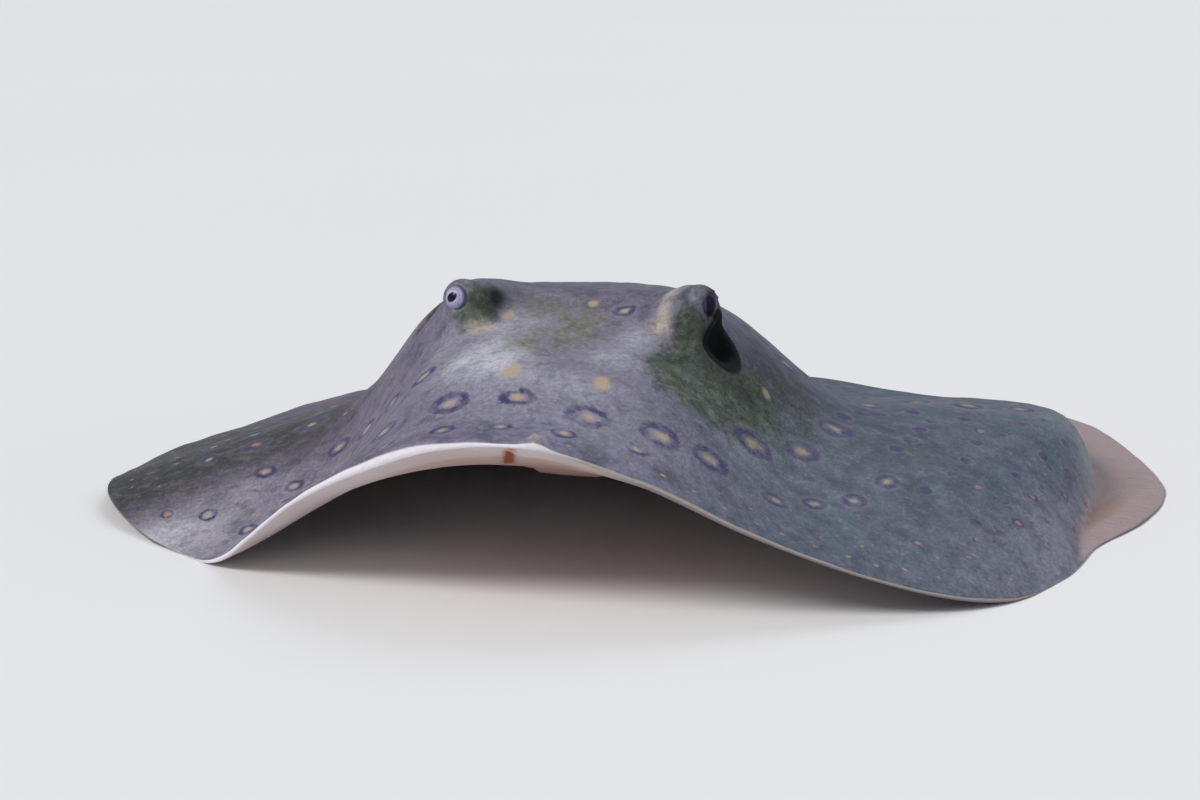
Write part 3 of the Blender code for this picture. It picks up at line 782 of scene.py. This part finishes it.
def mark(mesh, skin):
    """Gives every point of the mesh its place among the markings, and where painted light and shade lie on
    it.
    """
    points = np.array([v.co for v in mesh.vertices]) / MM
    flat, level = np.concatenate(skin.flat), np.concatenate(skin.level)
    x, y = flat[:, 0], flat[:, 1]
    bearing, out = polar(x, y)
    degrees = np.degrees(bearing)
    inset = around(RIM_RADIUS, bearing) * (1 - out)
    on_tail = smooth((y - TAIL_FROM - 1) / 8) * (out > 1)
    shown_level = np.where(level == -2, BEAD + 1, np.maximum(level, 0)) / (BEAD + 1)

    owner, place, kind = spot_frames(points, flat, (level == 0) | (level == -1))
    whole = (owner >= 0).astype(float)
    edges = np.array([e.vertices[:] for e in mesh.edges])
    whole[edges[owner[edges[:, 0]] != owner[edges[:, 1]]].ravel()] = 0

    # Painted shade: the knobs' shaded sides and the spiracles' hollows are painted near black.
    dark = mounds(x, y, DEEP_SHADE_PATCHES) + spiracle_shade(points, level)
    warm = smooth((-x - 12) / 55) + 0.45 * mound(x, y, (-1, -42), (16, 7))
    # Painted highlight on the lit ridge of the left brow, with the cream patches under the right knob and on
    # the snout's bump.
    highlight_and_cream = brow_highlight(x, y) + mounds(x, y, CREAM_PATCHES)
    foot = around(FLANGE, bearing) * around(RIM_RADIUS, bearing)
    lobe = smooth((foot + 0.8 - inset) / 1.0) * smooth((degrees - 61) / 3) * smooth((130 - degrees) / 8)
    lobe = lobe + 2 * lobe * mound(degrees, inset, (76, 8.5), (12, 2.5))
    # Painted shade: the rear of the right wing, the head behind the eyes and the SHADED_PATCHES are darkened
    # as if in shade.
    far_wing_shade = 0.92 * smooth((y + 59 - 0.45 * (x + 70)) / 27) * smooth((-x - 32) / 22)
    behind_eyes = 0.2 * smooth((y + 54) / 16) * smooth((30 - np.abs(x)) / 14)
    shade = far_wing_shade + mounds(x, y, SHADED_PATCHES) + behind_eyes
    # Painted light: a lit lilac band near the front rim of the right wing, and a lighter outer slope on the
    # left wing's crest.
    lit_band = np.maximum(
        0.7 * smooth((18 - inset) / 14) * smooth((degrees - 30) / 34) * smooth((104 - degrees) / 12),
        smooth((34 - inset) / 16) * smooth((-degrees - 28) / 12) * (1 - far_wing_shade) * (degrees > -90),
    )
    snout = smooth((inset - 3) / 5) * smooth((26 - np.abs(degrees)) / 12) * smooth((34 - inset) / 22)
    # The underside's dusky margin, which also stands for painted shade under the lifted rim; the white rim
    # stops short of it.
    dusky_and_shaded = np.maximum(smooth((degrees - 4) / 7), smooth((-degrees - 52) / 8))
    for name, *columns in (
        ("layout", x / 100, y / 100, shown_level),
        ("edge", np.clip(inset, -1, 60), bearing / pi, on_tail),
        ("spot", *place.T, whole),
        ("spot_kind", *kind.T),
        # moss, painted sheen and painted shade
        ("moss_sheen_and_shade", np.clip(mounds(x, y, MOSS_PATCHES), 0, 1.5), np.clip(mounds(x, y, LIT_PATCHES), 0, 1),
         np.clip(dark, 0, 3)),
        # warm and teal washes, and the painted brow highlight with the cream patches
        ("washes_and_highlight", warm, smooth((x - 6) / 44), np.clip(highlight_and_cream, 0, 1)),
        # the lobe, painted shade and the painted lit band
        ("lobe_and_painted_light", lobe, np.clip(shade, 0, 1) * smooth((60 - y) / 60), lit_band),
        # the rosy crease, the dusky margin with painted shade under the rim, and khaki
        ("below", snout_crease(x, y) + 0.35 * snout, dusky_and_shaded, np.clip(mounds(x, y, KHAKI_PATCHES), 0, 1)),
    ):
        store(mesh, name, np.stack(columns, 1))


def store(mesh, name, values):
    """Stores three numbers for every point under a name."""
    attribute = mesh.attributes.new(name, "FLOAT_VECTOR", "POINT")
    attribute.data.foreach_set("vector", np.ascontiguousarray(values, np.float32).ravel())


# The flat layout in mm: its size, where the disc's middle comes, how far its two sides are apart,
# and the width of each row of the rim's bead. The pelvic fins lie beside the disc, a little smaller.
LAYOUT_SIZE, LAYOUT_MIDDLE, LAYOUT_APART, BEAD_STEP = 450.0, (112, 106), 226, 0.35
PELVIC_SCALE, PELVIC_ASIDE, PELVIC_UP = 0.9, 50, 110


def numbers_of(items, name):
    """One whole number of each corner or face of a mesh."""
    values = np.zeros(len(items), int)
    items.foreach_get(name, values)
    return values


def lay_out(mesh, skin):
    """The flat layout as a UV map: the upper side on the left, the lower side on the right."""
    flat, level, outward = (np.concatenate(a) for a in (skin.flat, skin.level, skin.outward))
    layer = mesh.uv_layers.new(name="OFBake")
    corner_vertex = numbers_of(mesh.loops, "vertex_index")
    totals = numbers_of(mesh.polygons, "loop_total")
    corner_face = np.repeat(np.arange(len(totals)), totals)
    mean_level = np.bincount(corner_face, level[corner_vertex]) / totals
    under = (mean_level > (BEAD + 1) / 2 + 0.01)[corner_face]
    steps = np.where(under, BEAD + 1 - level[corner_vertex], level[corner_vertex])
    place = flat[corner_vertex] + outward[corner_vertex] * (BEAD_STEP * np.clip(steps, 0, BEAD + 1))[:, None]
    middle_x, middle_y = LAYOUT_MIDDLE
    u = place[:, 0] * np.where(under, -1, 1) + middle_x + LAYOUT_APART * under
    v = place[:, 1] + middle_y
    pelvic, low_fin = (mean_level < -0.01)[corner_face], (mean_level < -1.5)[corner_face]
    beside = PELVIC_ASIDE * np.sign(flat[corner_vertex][:, 0]) + middle_x + LAYOUT_APART * low_fin
    u = np.where(pelvic, place[:, 0] * PELVIC_SCALE + beside, u) / LAYOUT_SIZE
    v = np.where(pelvic, place[:, 1] * PELVIC_SCALE + PELVIC_UP + middle_y, v) / LAYOUT_SIZE
    layer.data.foreach_set("uv", np.stack([u, v], 1).astype(np.float32).ravel())


# ---------------------------------------------------------------- materials


def arithmetic(operation, swapped=False):
    """An operator that adds one Math node."""
    def apply(self, other):
        pair = (other, self) if swapped else (self, other)
        return self.finish.node("Math", {"operation": operation}, dict(enumerate(pair)))
    return apply


class Value:
    """A value in a material. Arithmetic on it adds Math nodes."""

    def __init__(self, finish, socket):
        self.finish, self.socket = finish, socket

    __add__ = __radd__ = arithmetic("ADD")
    __sub__, __rsub__ = arithmetic("SUBTRACT"), arithmetic("SUBTRACT", swapped=True)
    __mul__ = __rmul__ = arithmetic("MULTIPLY")
    __truediv__, __pow__ = arithmetic("DIVIDE"), arithmetic("POWER")


class Finish:
    """One material and the nodes that make it up."""

    def __init__(self, name, **fixed):
        self.material = bpy.data.materials.new(name)
        self.material.use_nodes = True
        self.tree = self.material.node_tree
        self.shader = self.tree.nodes["Principled BSDF"]
        for socket, value in fixed.items():
            self.shader.inputs[socket.replace("_", " ")].default_value = value

    def node(self, kind, settings=None, values=None, output=0):
        """Adds a node: its type, its settings, and the values or links of its sockets."""
        made = self.tree.nodes.new("ShaderNode" + kind)
        for name, value in (settings or {}).items():
            setattr(made, name, value)
        for socket, value in (values or {}).items():
            if isinstance(value, Value):
                self.tree.links.new(value.socket, made.inputs[socket])
            else:
                made.inputs[socket].default_value = value
        return Value(self, made.outputs[output])

    def attribute(self, name):
        """What is stored for every point under a name, as a vector."""
        return self.node("Attribute", {"attribute_name": name}, output="Vector")

    def stored(self, name):
        """The three numbers stored for every point under a name."""
        split = self.node("SeparateXYZ", values={0: self.attribute(name)})
        outputs = split.socket.node.outputs
        return [Value(self, outputs[k]) for k in range(3)]

    def noise(self, place, size, detail=2.0, roughness=0.5, distortion=0.0):
        """Cloudy noise from 0 to 1, with features of about the given size in metres."""
        values = {
            "Vector": place, "Scale": 1 / size, "Detail": detail, "Roughness": roughness,
            "Distortion": distortion,
        }
        return self.node("TexNoise", values=values)

    def cells(self, place, size):
        """Distance from the middles of small cells of the given size."""
        return self.node("TexVoronoi", values={"Vector": place, "Scale": 1 / size})

    def rise(self, value, start, end):
        """0 up to the start, 1 from the end on, and an ease between."""
        values = {"Value": value, "From Min": start, "From Max": end}
        return self.node("MapRange", {"interpolation_type": "SMOOTHSTEP"}, values)

    def blend(self, factor, a, b):
        """Mixes two colours."""
        a, b = (c if isinstance(c, Value) else (*c, 1) for c in (a, b))
        settings = {"data_type": "RGBA", "clamp_factor": True}
        return self.node("Mix", settings, {0: factor, 6: a, 7: b}, output=2)

    def cover(self, base, *layers):
        """Lays colours over a base in turn; each layer is how much of it shows, and its colour."""
        for factor, colour in layers:
            base = self.blend(factor, base, colour)
        return base

    def sine(self, value):
        return self.node("Math", {"operation": "SINE"}, {0: value})

    def feed(self, socket, value):
        self.tree.links.new(value.socket, self.shader.inputs[socket])

    def bump(self, height, distance, strength, over=None):
        """The surface's slope from a height, laid over another slope if one is given."""
        values = {"Height": height, "Distance": distance, "Strength": strength}
        if over:
            values["Normal"] = over
        return self.node("Bump", values=values)


# Colours of the skin, linear.
SLATE = (0.190, 0.174, 0.255)
SLATE_WARM = (0.132, 0.104, 0.142)
SLATE_TEAL = (0.070, 0.105, 0.142)
SLATE_DEEP = (0.060, 0.058, 0.088)
# Painted light, for the lit band near the front rim.
LIT_LILAC = (0.330, 0.305, 0.370)
# Painted shade: a dark olive laid where the surface should lie in shade.
SHADE = (0.029, 0.031, 0.021)
# Painted sheen on the head, and painted light on the wing ends.
SHEEN_PALE = (0.640, 0.630, 0.690)
# Cream, for the cream patches and for the painted highlight on the left brow's ridge.
HIGHLIGHT_CREAM = (0.550, 0.480, 0.385)
OLIVE = (0.034, 0.050, 0.022)
OLIVE_PALE = (0.084, 0.110, 0.062)
KHAKI = (0.165, 0.163, 0.100)
# Painted shade, near black, for the knobs' shaded sides and the spiracles.
SHADE_DARK = (0.007, 0.008, 0.008)
RING = (0.048, 0.042, 0.112)
CENTRE = (0.430, 0.320, 0.215)
CENTRE_ROSE = (0.420, 0.200, 0.150)
RIM_WHITE = (0.820, 0.780, 0.850)
RIM_CREAM = (0.370, 0.335, 0.285)
RIM_GREY = (0.150, 0.130, 0.150)
BELLY_WHITE = (0.700, 0.630, 0.650)
BELLY_ROSE = (0.480, 0.280, 0.220)
CREASE = (0.300, 0.075, 0.030)
LOBE_ROSE = (0.345, 0.265, 0.262)
LOBE_BROWN = (0.300, 0.190, 0.160)
LOBE_DEEP = (0.320, 0.235, 0.235)
MOTTLE_DARK, MOTTLE_PALE = (0.03, 0.03, 0.06), (0.50, 0.48, 0.54)
FLECK_DARK, FLECK_PALE = (0.03, 0.03, 0.05), (0.62, 0.60, 0.66)
BLOT_DARK = (0.04, 0.04, 0.06)
HALO = (0.26, 0.24, 0.28)
BAND_DARK = (0.05, 0.045, 0.05)


def skin_finish():
    """Moist skin: mauve grey with moss, ocelli and flecks above, cream and rose below, with painted sheen,
    highlight and shade laid over it.
    """
    f = Finish("ray_skin", Subsurface_Weight=0.06, Subsurface_Scale=0.002, IOR=1.34)
    place = f.node("TexCoord", output="Object")
    layout_y, level = f.stored("layout")[1:]
    inset, bearing, on_tail = f.stored("edge")
    green, pale, dark = f.stored("moss_sheen_and_shade")
    warm, teal, highlight_and_cream = f.stored("washes_and_highlight")
    lobe, shade, lit_band = f.stored("lobe_and_painted_light")
    rosy, dusky_and_shaded, khaki = f.stored("below")

    clouds = f.noise(place, 0.022, 3)
    patches = f.noise(place, 0.006, 4, 0.6)
    mottle = f.noise(place, 0.0034, 3, 0.6)
    blots = f.noise(place, 0.0019, 3, 0.6)
    flecks = f.noise(place, 0.0009, 3, 0.7)
    grains = f.cells(place, 0.0006)

    speckle = f.rise(flecks, 0.36, 0.62)
    olive = f.rise(green + (mottle - 0.5) * 1.7 + (patches - 0.5) * 1.6, 0.2, 1.0)
    moss = f.blend(f.rise(blots, 0.38, 0.62), OLIVE, OLIVE_PALE)
    ground = f.cover(
        f.blend(warm, SLATE, SLATE_WARM),
        (teal, SLATE_TEAL),
        # painted light: the lit band near the front rim
        (lit_band * (0.55 + 0.7 * patches), LIT_LILAC),
        (f.rise(clouds, 0.4, 0.7) * 0.35, SLATE_WARM),
        (f.rise(patches, 0.45, 0.72) * 0.7, SLATE_DEEP),
        # painted shade over the rear of the right wing, behind the eyes and in the shaded patches
        (shade * (0.65 + 0.6 * mottle), SHADE),
        # painted sheen and painted light from the pale patches
        (pale * f.rise(patches * 0.6 + mottle * 0.5, 0.3, 0.7), SHEEN_PALE),
        (khaki * f.rise(patches * 0.5 + mottle * 0.5, 0.26, 0.6), KHAKI),
        (olive * f.rise(green, 0.06, 0.85) * 0.94, moss),
        # painted highlight on the brow ridge, and the cream patches
        (highlight_and_cream * (0.35 + 0.9 * blots), HIGHLIGHT_CREAM),
        (f.rise(mottle, 0.5, 0.68) * 0.408, MOTTLE_DARK),
        (f.rise(mottle, 0.5, 0.32) * 0.0875, MOTTLE_PALE),
        ((1 - speckle) * 0.25, FLECK_DARK),
        (f.rise(flecks, 0.5, 0.72) * 0.088, FLECK_PALE),
        (f.rise(blots, 0.5, 0.72) * 0.2, BLOT_DARK),
    )

    u, v, owned = f.stored("spot")
    whole = f.rise(owned, 0.45, 0.95)
    ring_strength, centre_size, tone = f.stored("spot_kind")
    far = (u * u + v * v) ** 0.5
    ragged = far + (blots - 0.5) * 0.65 + (flecks - 0.5) * 0.45
    hearted = f.rise(centre_size, 0.1, 0.3)
    hollow = 1 - (1 - f.rise(ragged, 0.44, 0.68)) * hearted
    ring = hollow * (1 - f.rise(ragged, 0.84, 1.14)) * ring_strength * whole
    ring = ring * (0.5 + 0.75 * f.rise(mottle * 0.6 + blots * 0.5, 0.42, 0.68))
    centre = (1 - f.rise(ragged, centre_size * 0.35, centre_size * 1.1)) * whole * hearted
    halo = (1 - f.rise(far, 1.0, 1.6)) * ring_strength * whole
    heart = f.blend(f.rise(tone, 0.35, 0.9), CENTRE, CENTRE_ROSE)

    flap = f.blend(f.rise(lobe, 1.1, 2.2), LOBE_ROSE, LOBE_BROWN)
    flap = f.blend(f.rise(patches, 0.3, 0.7) * 0.5, flap, LOBE_DEEP)
    bands = f.rise(f.sine(layout_y * 62 + clouds * 3), -0.2, 0.7) * f.rise(layout_y, 1.7, 2.0)
    coloured = f.cover(
        ground,
        (halo * 0.18, HALO),
        (ring * 0.9, RING),
        (centre * (0.35 + 0.9 * mottle) * (1 - 0.3 * teal), heart),
        # painted shade on the knobs and in the spiracles
        (dark, SHADE_DARK),
        (lobe * 0.96, flap),
        (bands * 0.6, BAND_DARK),
    )

    near_mouth = f.node(
        "VectorMath", {"operation": "DISTANCE"}, {0: f.attribute("layout"), 1: (0, -0.7, 1)}, "Value"
    )
    # The dusky margin, with painted shade under the rim.
    margin = (1 - f.rise(inset + patches * 8, 8.0, 16.0)) * dusky_and_shaded
    belly = f.cover(
        f.blend(f.rise(clouds, 0.3, 0.7) * 0.35, BELLY_WHITE, BELLY_ROSE),
        ((1 - f.rise(near_mouth, 0.06, 0.32)) * 0.75, BELLY_ROSE),
        (f.rise(rosy, 0.1, 0.5) * 0.7, BELLY_ROSE),
        (f.rise(rosy, 0.5, 0.9), CREASE),
        (margin * 0.85, SLATE_WARM),
    )

    front = f.rise(bearing, -0.29, -0.22) * (1 - f.rise(bearing, 0.31, 0.42))
    rim_colour = f.blend(front, RIM_GREY, f.blend(f.rise(bearing, -0.01, 0.03), RIM_WHITE, RIM_CREAM))
    past = f.rise(level, 0.82, 0.95)
    rim = f.rise(level, 0.28, 0.46) * (1 - past * dusky_and_shaded) * (1 - on_tail)
    rim = rim * (1 - f.rise(level, 0.45, 0.7) * dusky_and_shaded) * (1 - past)
    whole_skin = f.cover(coloured, (f.rise(level, 0.3, 0.5), belly), (rim, rim_colour))
    f.feed("Base Color", whole_skin)

    f.feed("Roughness", 0.36 + 0.16 * patches + 0.06 * speckle + 0.3 * dark)
    rays = f.sine(bearing * 820 + patches * 11) * (1 - f.rise(inset, 9.0, 20.0)) * (1 - on_tail)
    skin_bump = f.bump(flecks * 0.6 + grains * 0.4 + rays * 0.15, 0.00018, 0.8)
    wrinkle = f.noise(place, 0.0035, 3, 0.55, 0.4)
    f.feed("Normal", f.bump(wrinkle, 0.0007, 0.4, skin_bump))
    return f.material


def eye_finish():
    """A wet eye: a pale blue iris with painted shade over its top and over the front of the left eye, and a
    black pupil.
    """
    f = Finish("wet_eye", Coat_Roughness=0.1, IOR=1.34, Specular_IOR_Level=0.25)
    place = f.attribute("gaze")
    u, v = f.stored("gaze")[:2]
    shade = f.stored("shade")[0]
    far = (u ** 2 + v ** 2) ** 0.5
    slanting = (((u * 0.82 + v * 0.57) / 0.37) ** 2 + ((v * 0.82 - u * 0.57) / 0.27) ** 2) ** 0.5
    upright = ((u / 0.34) ** 2 + (v / 0.60) ** 2) ** 0.5
    pupil = 1 - f.rise(slanting * (1 - shade) + upright * shade, 0.82, 1.1)
    f.feed("Base Color", f.cover(
        f.blend(f.rise(f.noise(place, 0.09, 4, 0.7), 0.3, 0.7), (0.44, 0.41, 0.60), (0.24, 0.22, 0.37)),
        (f.rise(far, 0.46, 0.28) * 0.5, (0.62, 0.58, 0.75)),
        (f.rise(far, 0.55, 0.70) * 0.9, (0.035, 0.035, 0.075)),
        # painted shade at the top of the iris
        (f.rise(v, 0.25, 0.75) * 0.4, (0.12, 0.11, 0.16)),
        # painted shade over the front of the left iris
        (shade * 0.94, (0.018, 0.028, 0.062)),
        (pupil, (0.006, 0.004, 0.014)),
    ))
    f.feed("Roughness", 0.34 + 0.14 * shade)
    f.feed("Coat Weight", 0.12 - 0.09 * shade)
    return f.material


def sting_finish():
    """Satin bone, streaked lengthwise."""
    f = Finish("sting_bone", Subsurface_Weight=0.1, Subsurface_Scale=0.001)
    place = f.node("TexCoord", output="Object")
    streaks = f.noise(f.node("Mapping", values={"Vector": place, "Scale": (1, 0.12, 1)}), 0.0005, 4, 0.6)
    bone = f.blend(f.rise(streaks, 0.3, 0.7), (0.50, 0.42, 0.30), (0.34, 0.26, 0.17))
    f.feed("Base Color", bone)
    f.feed("Roughness", 0.35 + 0.25 * streaks)
    f.feed("Normal", f.bump(streaks, 0.0002, 0.5))
    return f.material


def floor_finish():
    """Plain pale paint, faintly clouded."""
    f = Finish("studio_floor", Roughness=0.75)
    place = f.node("TexCoord", output="Object")
    soft = f.noise(place, 0.8, 2)
    f.feed("Base Color", f.blend(soft, (0.78, 0.775, 0.765), (0.82, 0.815, 0.805)))
    return f.material


# ---------------------------------------------------------------- pieces


def tube_faces(rings, sides, first=0):
    """Faces of a closed tube of rings of points, with both ends filled."""
    faces = [tuple(range(first, first + sides))]
    faces.append(tuple(range(first + (rings - 1) * sides, first + rings * sides)))
    for row in range(rings - 1):
        for k in range(sides):
            a, b = first + row * sides + k, first + row * sides + (k + 1) % sides
            faces.append((a, b, b + sides, a + sides))
    return faces


def add_object(name, data):
    """A new object in the scene that shows the data."""
    made = bpy.data.objects.new(name, data)
    bpy.context.scene.collection.objects.link(made)
    return made


def piece(name, points, faces, finish):
    """A mesh object drawn round the disc's middle in mm, put in its place on the frame."""
    mesh = bpy.data.meshes.new(name)
    mesh.from_pydata((np.asarray(points) * MM).tolist(), [], [tuple(map(int, f)) for f in faces])
    solid = bmesh.new()
    solid.from_mesh(mesh)
    bmesh.ops.recalc_face_normals(solid, faces=solid.faces)
    solid.to_mesh(mesh)
    solid.free()
    mesh.shade_smooth()
    mesh.materials.append(finish)
    made = add_object(name, mesh)
    made.location = DISC_MIDDLE
    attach(made, "root")
    return made


def skin_piece():
    """The skin, in place of all the flesh parts."""
    skin = build_skin()
    made = piece("ray_skin", np.concatenate(skin.points), skin.faces, skin_finish())
    mark(made.data, skin)
    lay_out(made.data, skin)
    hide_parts(*FLESH)
    return made


def eye_piece(side, word, finish):
    """An eyeball with a low clear bulge in front, turned to its gaze."""
    rings, sides = 56, 72
    polar_angle, turn = np.meshgrid(
        np.linspace(0.02, pi - 0.02, rings), np.linspace(0, 2 * pi, sides, endpoint=False), indexing="ij"
    )
    radius = EYE_RADIUS + 0.22 * smooth(1 - polar_angle / radians(46))
    local = np.stack([
        radius * np.sin(polar_angle) * np.cos(turn), radius * np.sin(polar_angle) * np.sin(turn),
        radius * np.cos(polar_angle),
    ], -1)
    gaze = mirrored(way(GAZE[side]), side)
    across = np.cross([0, 0, 1], gaze)
    across /= np.linalg.norm(across)
    up = np.cross(gaze, across)
    placed = local @ np.stack([across, up, gaze]) + mirrored(EYE_AT, side)
    made = piece(f"eye_{word}_ball", placed.reshape(-1, 3), tube_faces(rings, sides), finish)
    store(made.data, "gaze", local.reshape(-1, 3) / EYE_RADIUS)
    # Painted shade: how much the front of the left eye's iris is darkened.
    front = smooth(0.9 - (placed[..., 1] - EYE_AT[1]) / 5) * (side > 0)
    store(made.data, "shade", np.stack([front, front, front], -1).reshape(-1, 3))
    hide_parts(f"eye_{word}")
    return made


def sting_piece():
    """The flat spine: grooved above, with back-turned teeth down both edges."""
    rows = 170
    points = []
    for t in np.linspace(0, 1, rows):
        y = STING_AT + STING_REACH * t
        half = STING_WIDTH / 2 * slant(y) * (1 - 0.93 * t**1.6) * (0.75 + 0.25 * smooth(t / 0.08))
        tooth = (t * STING_TEETH) % 1
        barb = 0.26 * (1 - tooth) * smooth((t - 0.12) / 0.1) * smooth((1 - t) / 0.1)
        z = tail_half_height(y) * (1 + TAIL_LIFT) + 1.2 + 1.6 * t
        flat = 0.65 * (1 - 0.6 * t)
        x = tail_x(y)
        for across, up in STING_SECTION:
            wide = half + (barb if abs(across) == 1 else 0)
            points.append((x + across * wide, y, z + up * flat))
    faces = tube_faces(rows, len(STING_SECTION))
    made = piece("tail_sting_spine", points, faces, sting_finish())
    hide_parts("tail_sting")
    return made


def thorn_piece(finish):
    """Small curved thorns along the middle of the tail, in front of the sting."""
    points, faces, sides = [], [], 10
    for number, y in enumerate(THORNS_AT):
        top = tail_half_height(y) * (1 + TAIL_LIFT) - 0.25
        size = 0.9 + 0.25 * sin(number * 2.1)
        start = len(points)
        for up, wide, back in THORN_SECTIONS:
            for k in range(sides):
                a = 2 * pi * k / sides
                points.append((tail_x(y) + size * 0.8 * wide * cos(a),
                               y + size * (1.25 * wide * sin(a) + back), top + size * up * 1.1))
        faces += tube_faces(len(THORN_SECTIONS), sides, start)
    return piece("tail_thorns", points, faces, finish)


# ---------------------------------------------------------------- studio

CAMERA_FROM_DISC = Vector((0.069, -0.484, 0.121))
CAMERA_YAW, CAMERA_DOWN, CAMERA_LENS = 8.6, 12.0, 72.9
AIR_COLOUR, AIR_STRENGTH = (0.82, 0.88, 1.0, 1), 0.33
LIGHTS = (  # name, direction it shines in, strength, softness in degrees, colour
    ("key_light", (0.55, 0.46, -0.68), 2.25, 22, (1.0, 0.98, 0.95)),
    ("fill_light", (-0.80, 0.32, -0.50), 0.6, 50, (0.92, 0.95, 1.0)),
    ("back_light", (-0.25, -0.55, -0.8), 0.55, 40, (0.90, 0.95, 1.0)),
)


def soft_light(name, towards, strength, softness, colour):
    """A broad even light that shines along a direction."""
    light = bpy.data.lights.new(name, "SUN")
    light.energy, light.angle, light.color = strength, radians(softness), colour
    add_object(name, light).rotation_euler = Vector(towards).to_track_quat("-Z", "Y").to_euler()


def studio():
    """A pale floor, soft daylight and the camera."""
    bpy.context.scene.view_settings.view_transform = "Standard"
    world = bpy.data.worlds.new("studio_air")
    world.use_nodes = True
    background = world.node_tree.nodes["Background"]
    background.inputs["Color"].default_value = AIR_COLOUR
    background.inputs["Strength"].default_value = AIR_STRENGTH
    bpy.context.scene.world = world
    for light in LIGHTS:
        soft_light(*light)
    bpy.ops.mesh.primitive_plane_add(size=14)
    floor = bpy.context.object
    floor.name = "studio_floor"
    floor.data.materials.append(floor_finish())
    camera = bpy.data.cameras.new("portrait_camera")
    camera.lens, camera.sensor_width = CAMERA_LENS, 36
    camera.clip_start = 0.01
    stand = add_object("portrait_camera", camera)
    stand.location = DISC_MIDDLE + CAMERA_FROM_DISC
    stand.rotation_euler = (radians(90 - CAMERA_DOWN), 0, radians(CAMERA_YAW))
    bpy.context.scene.camera = stand


skin_piece()
wet_eye = eye_finish()
for side, word in ((1, "left"), (-1, "right")):
    eye_piece(side, word, wet_eye)
spine = sting_piece()
thorn_piece(spine.data.materials[0])
studio()
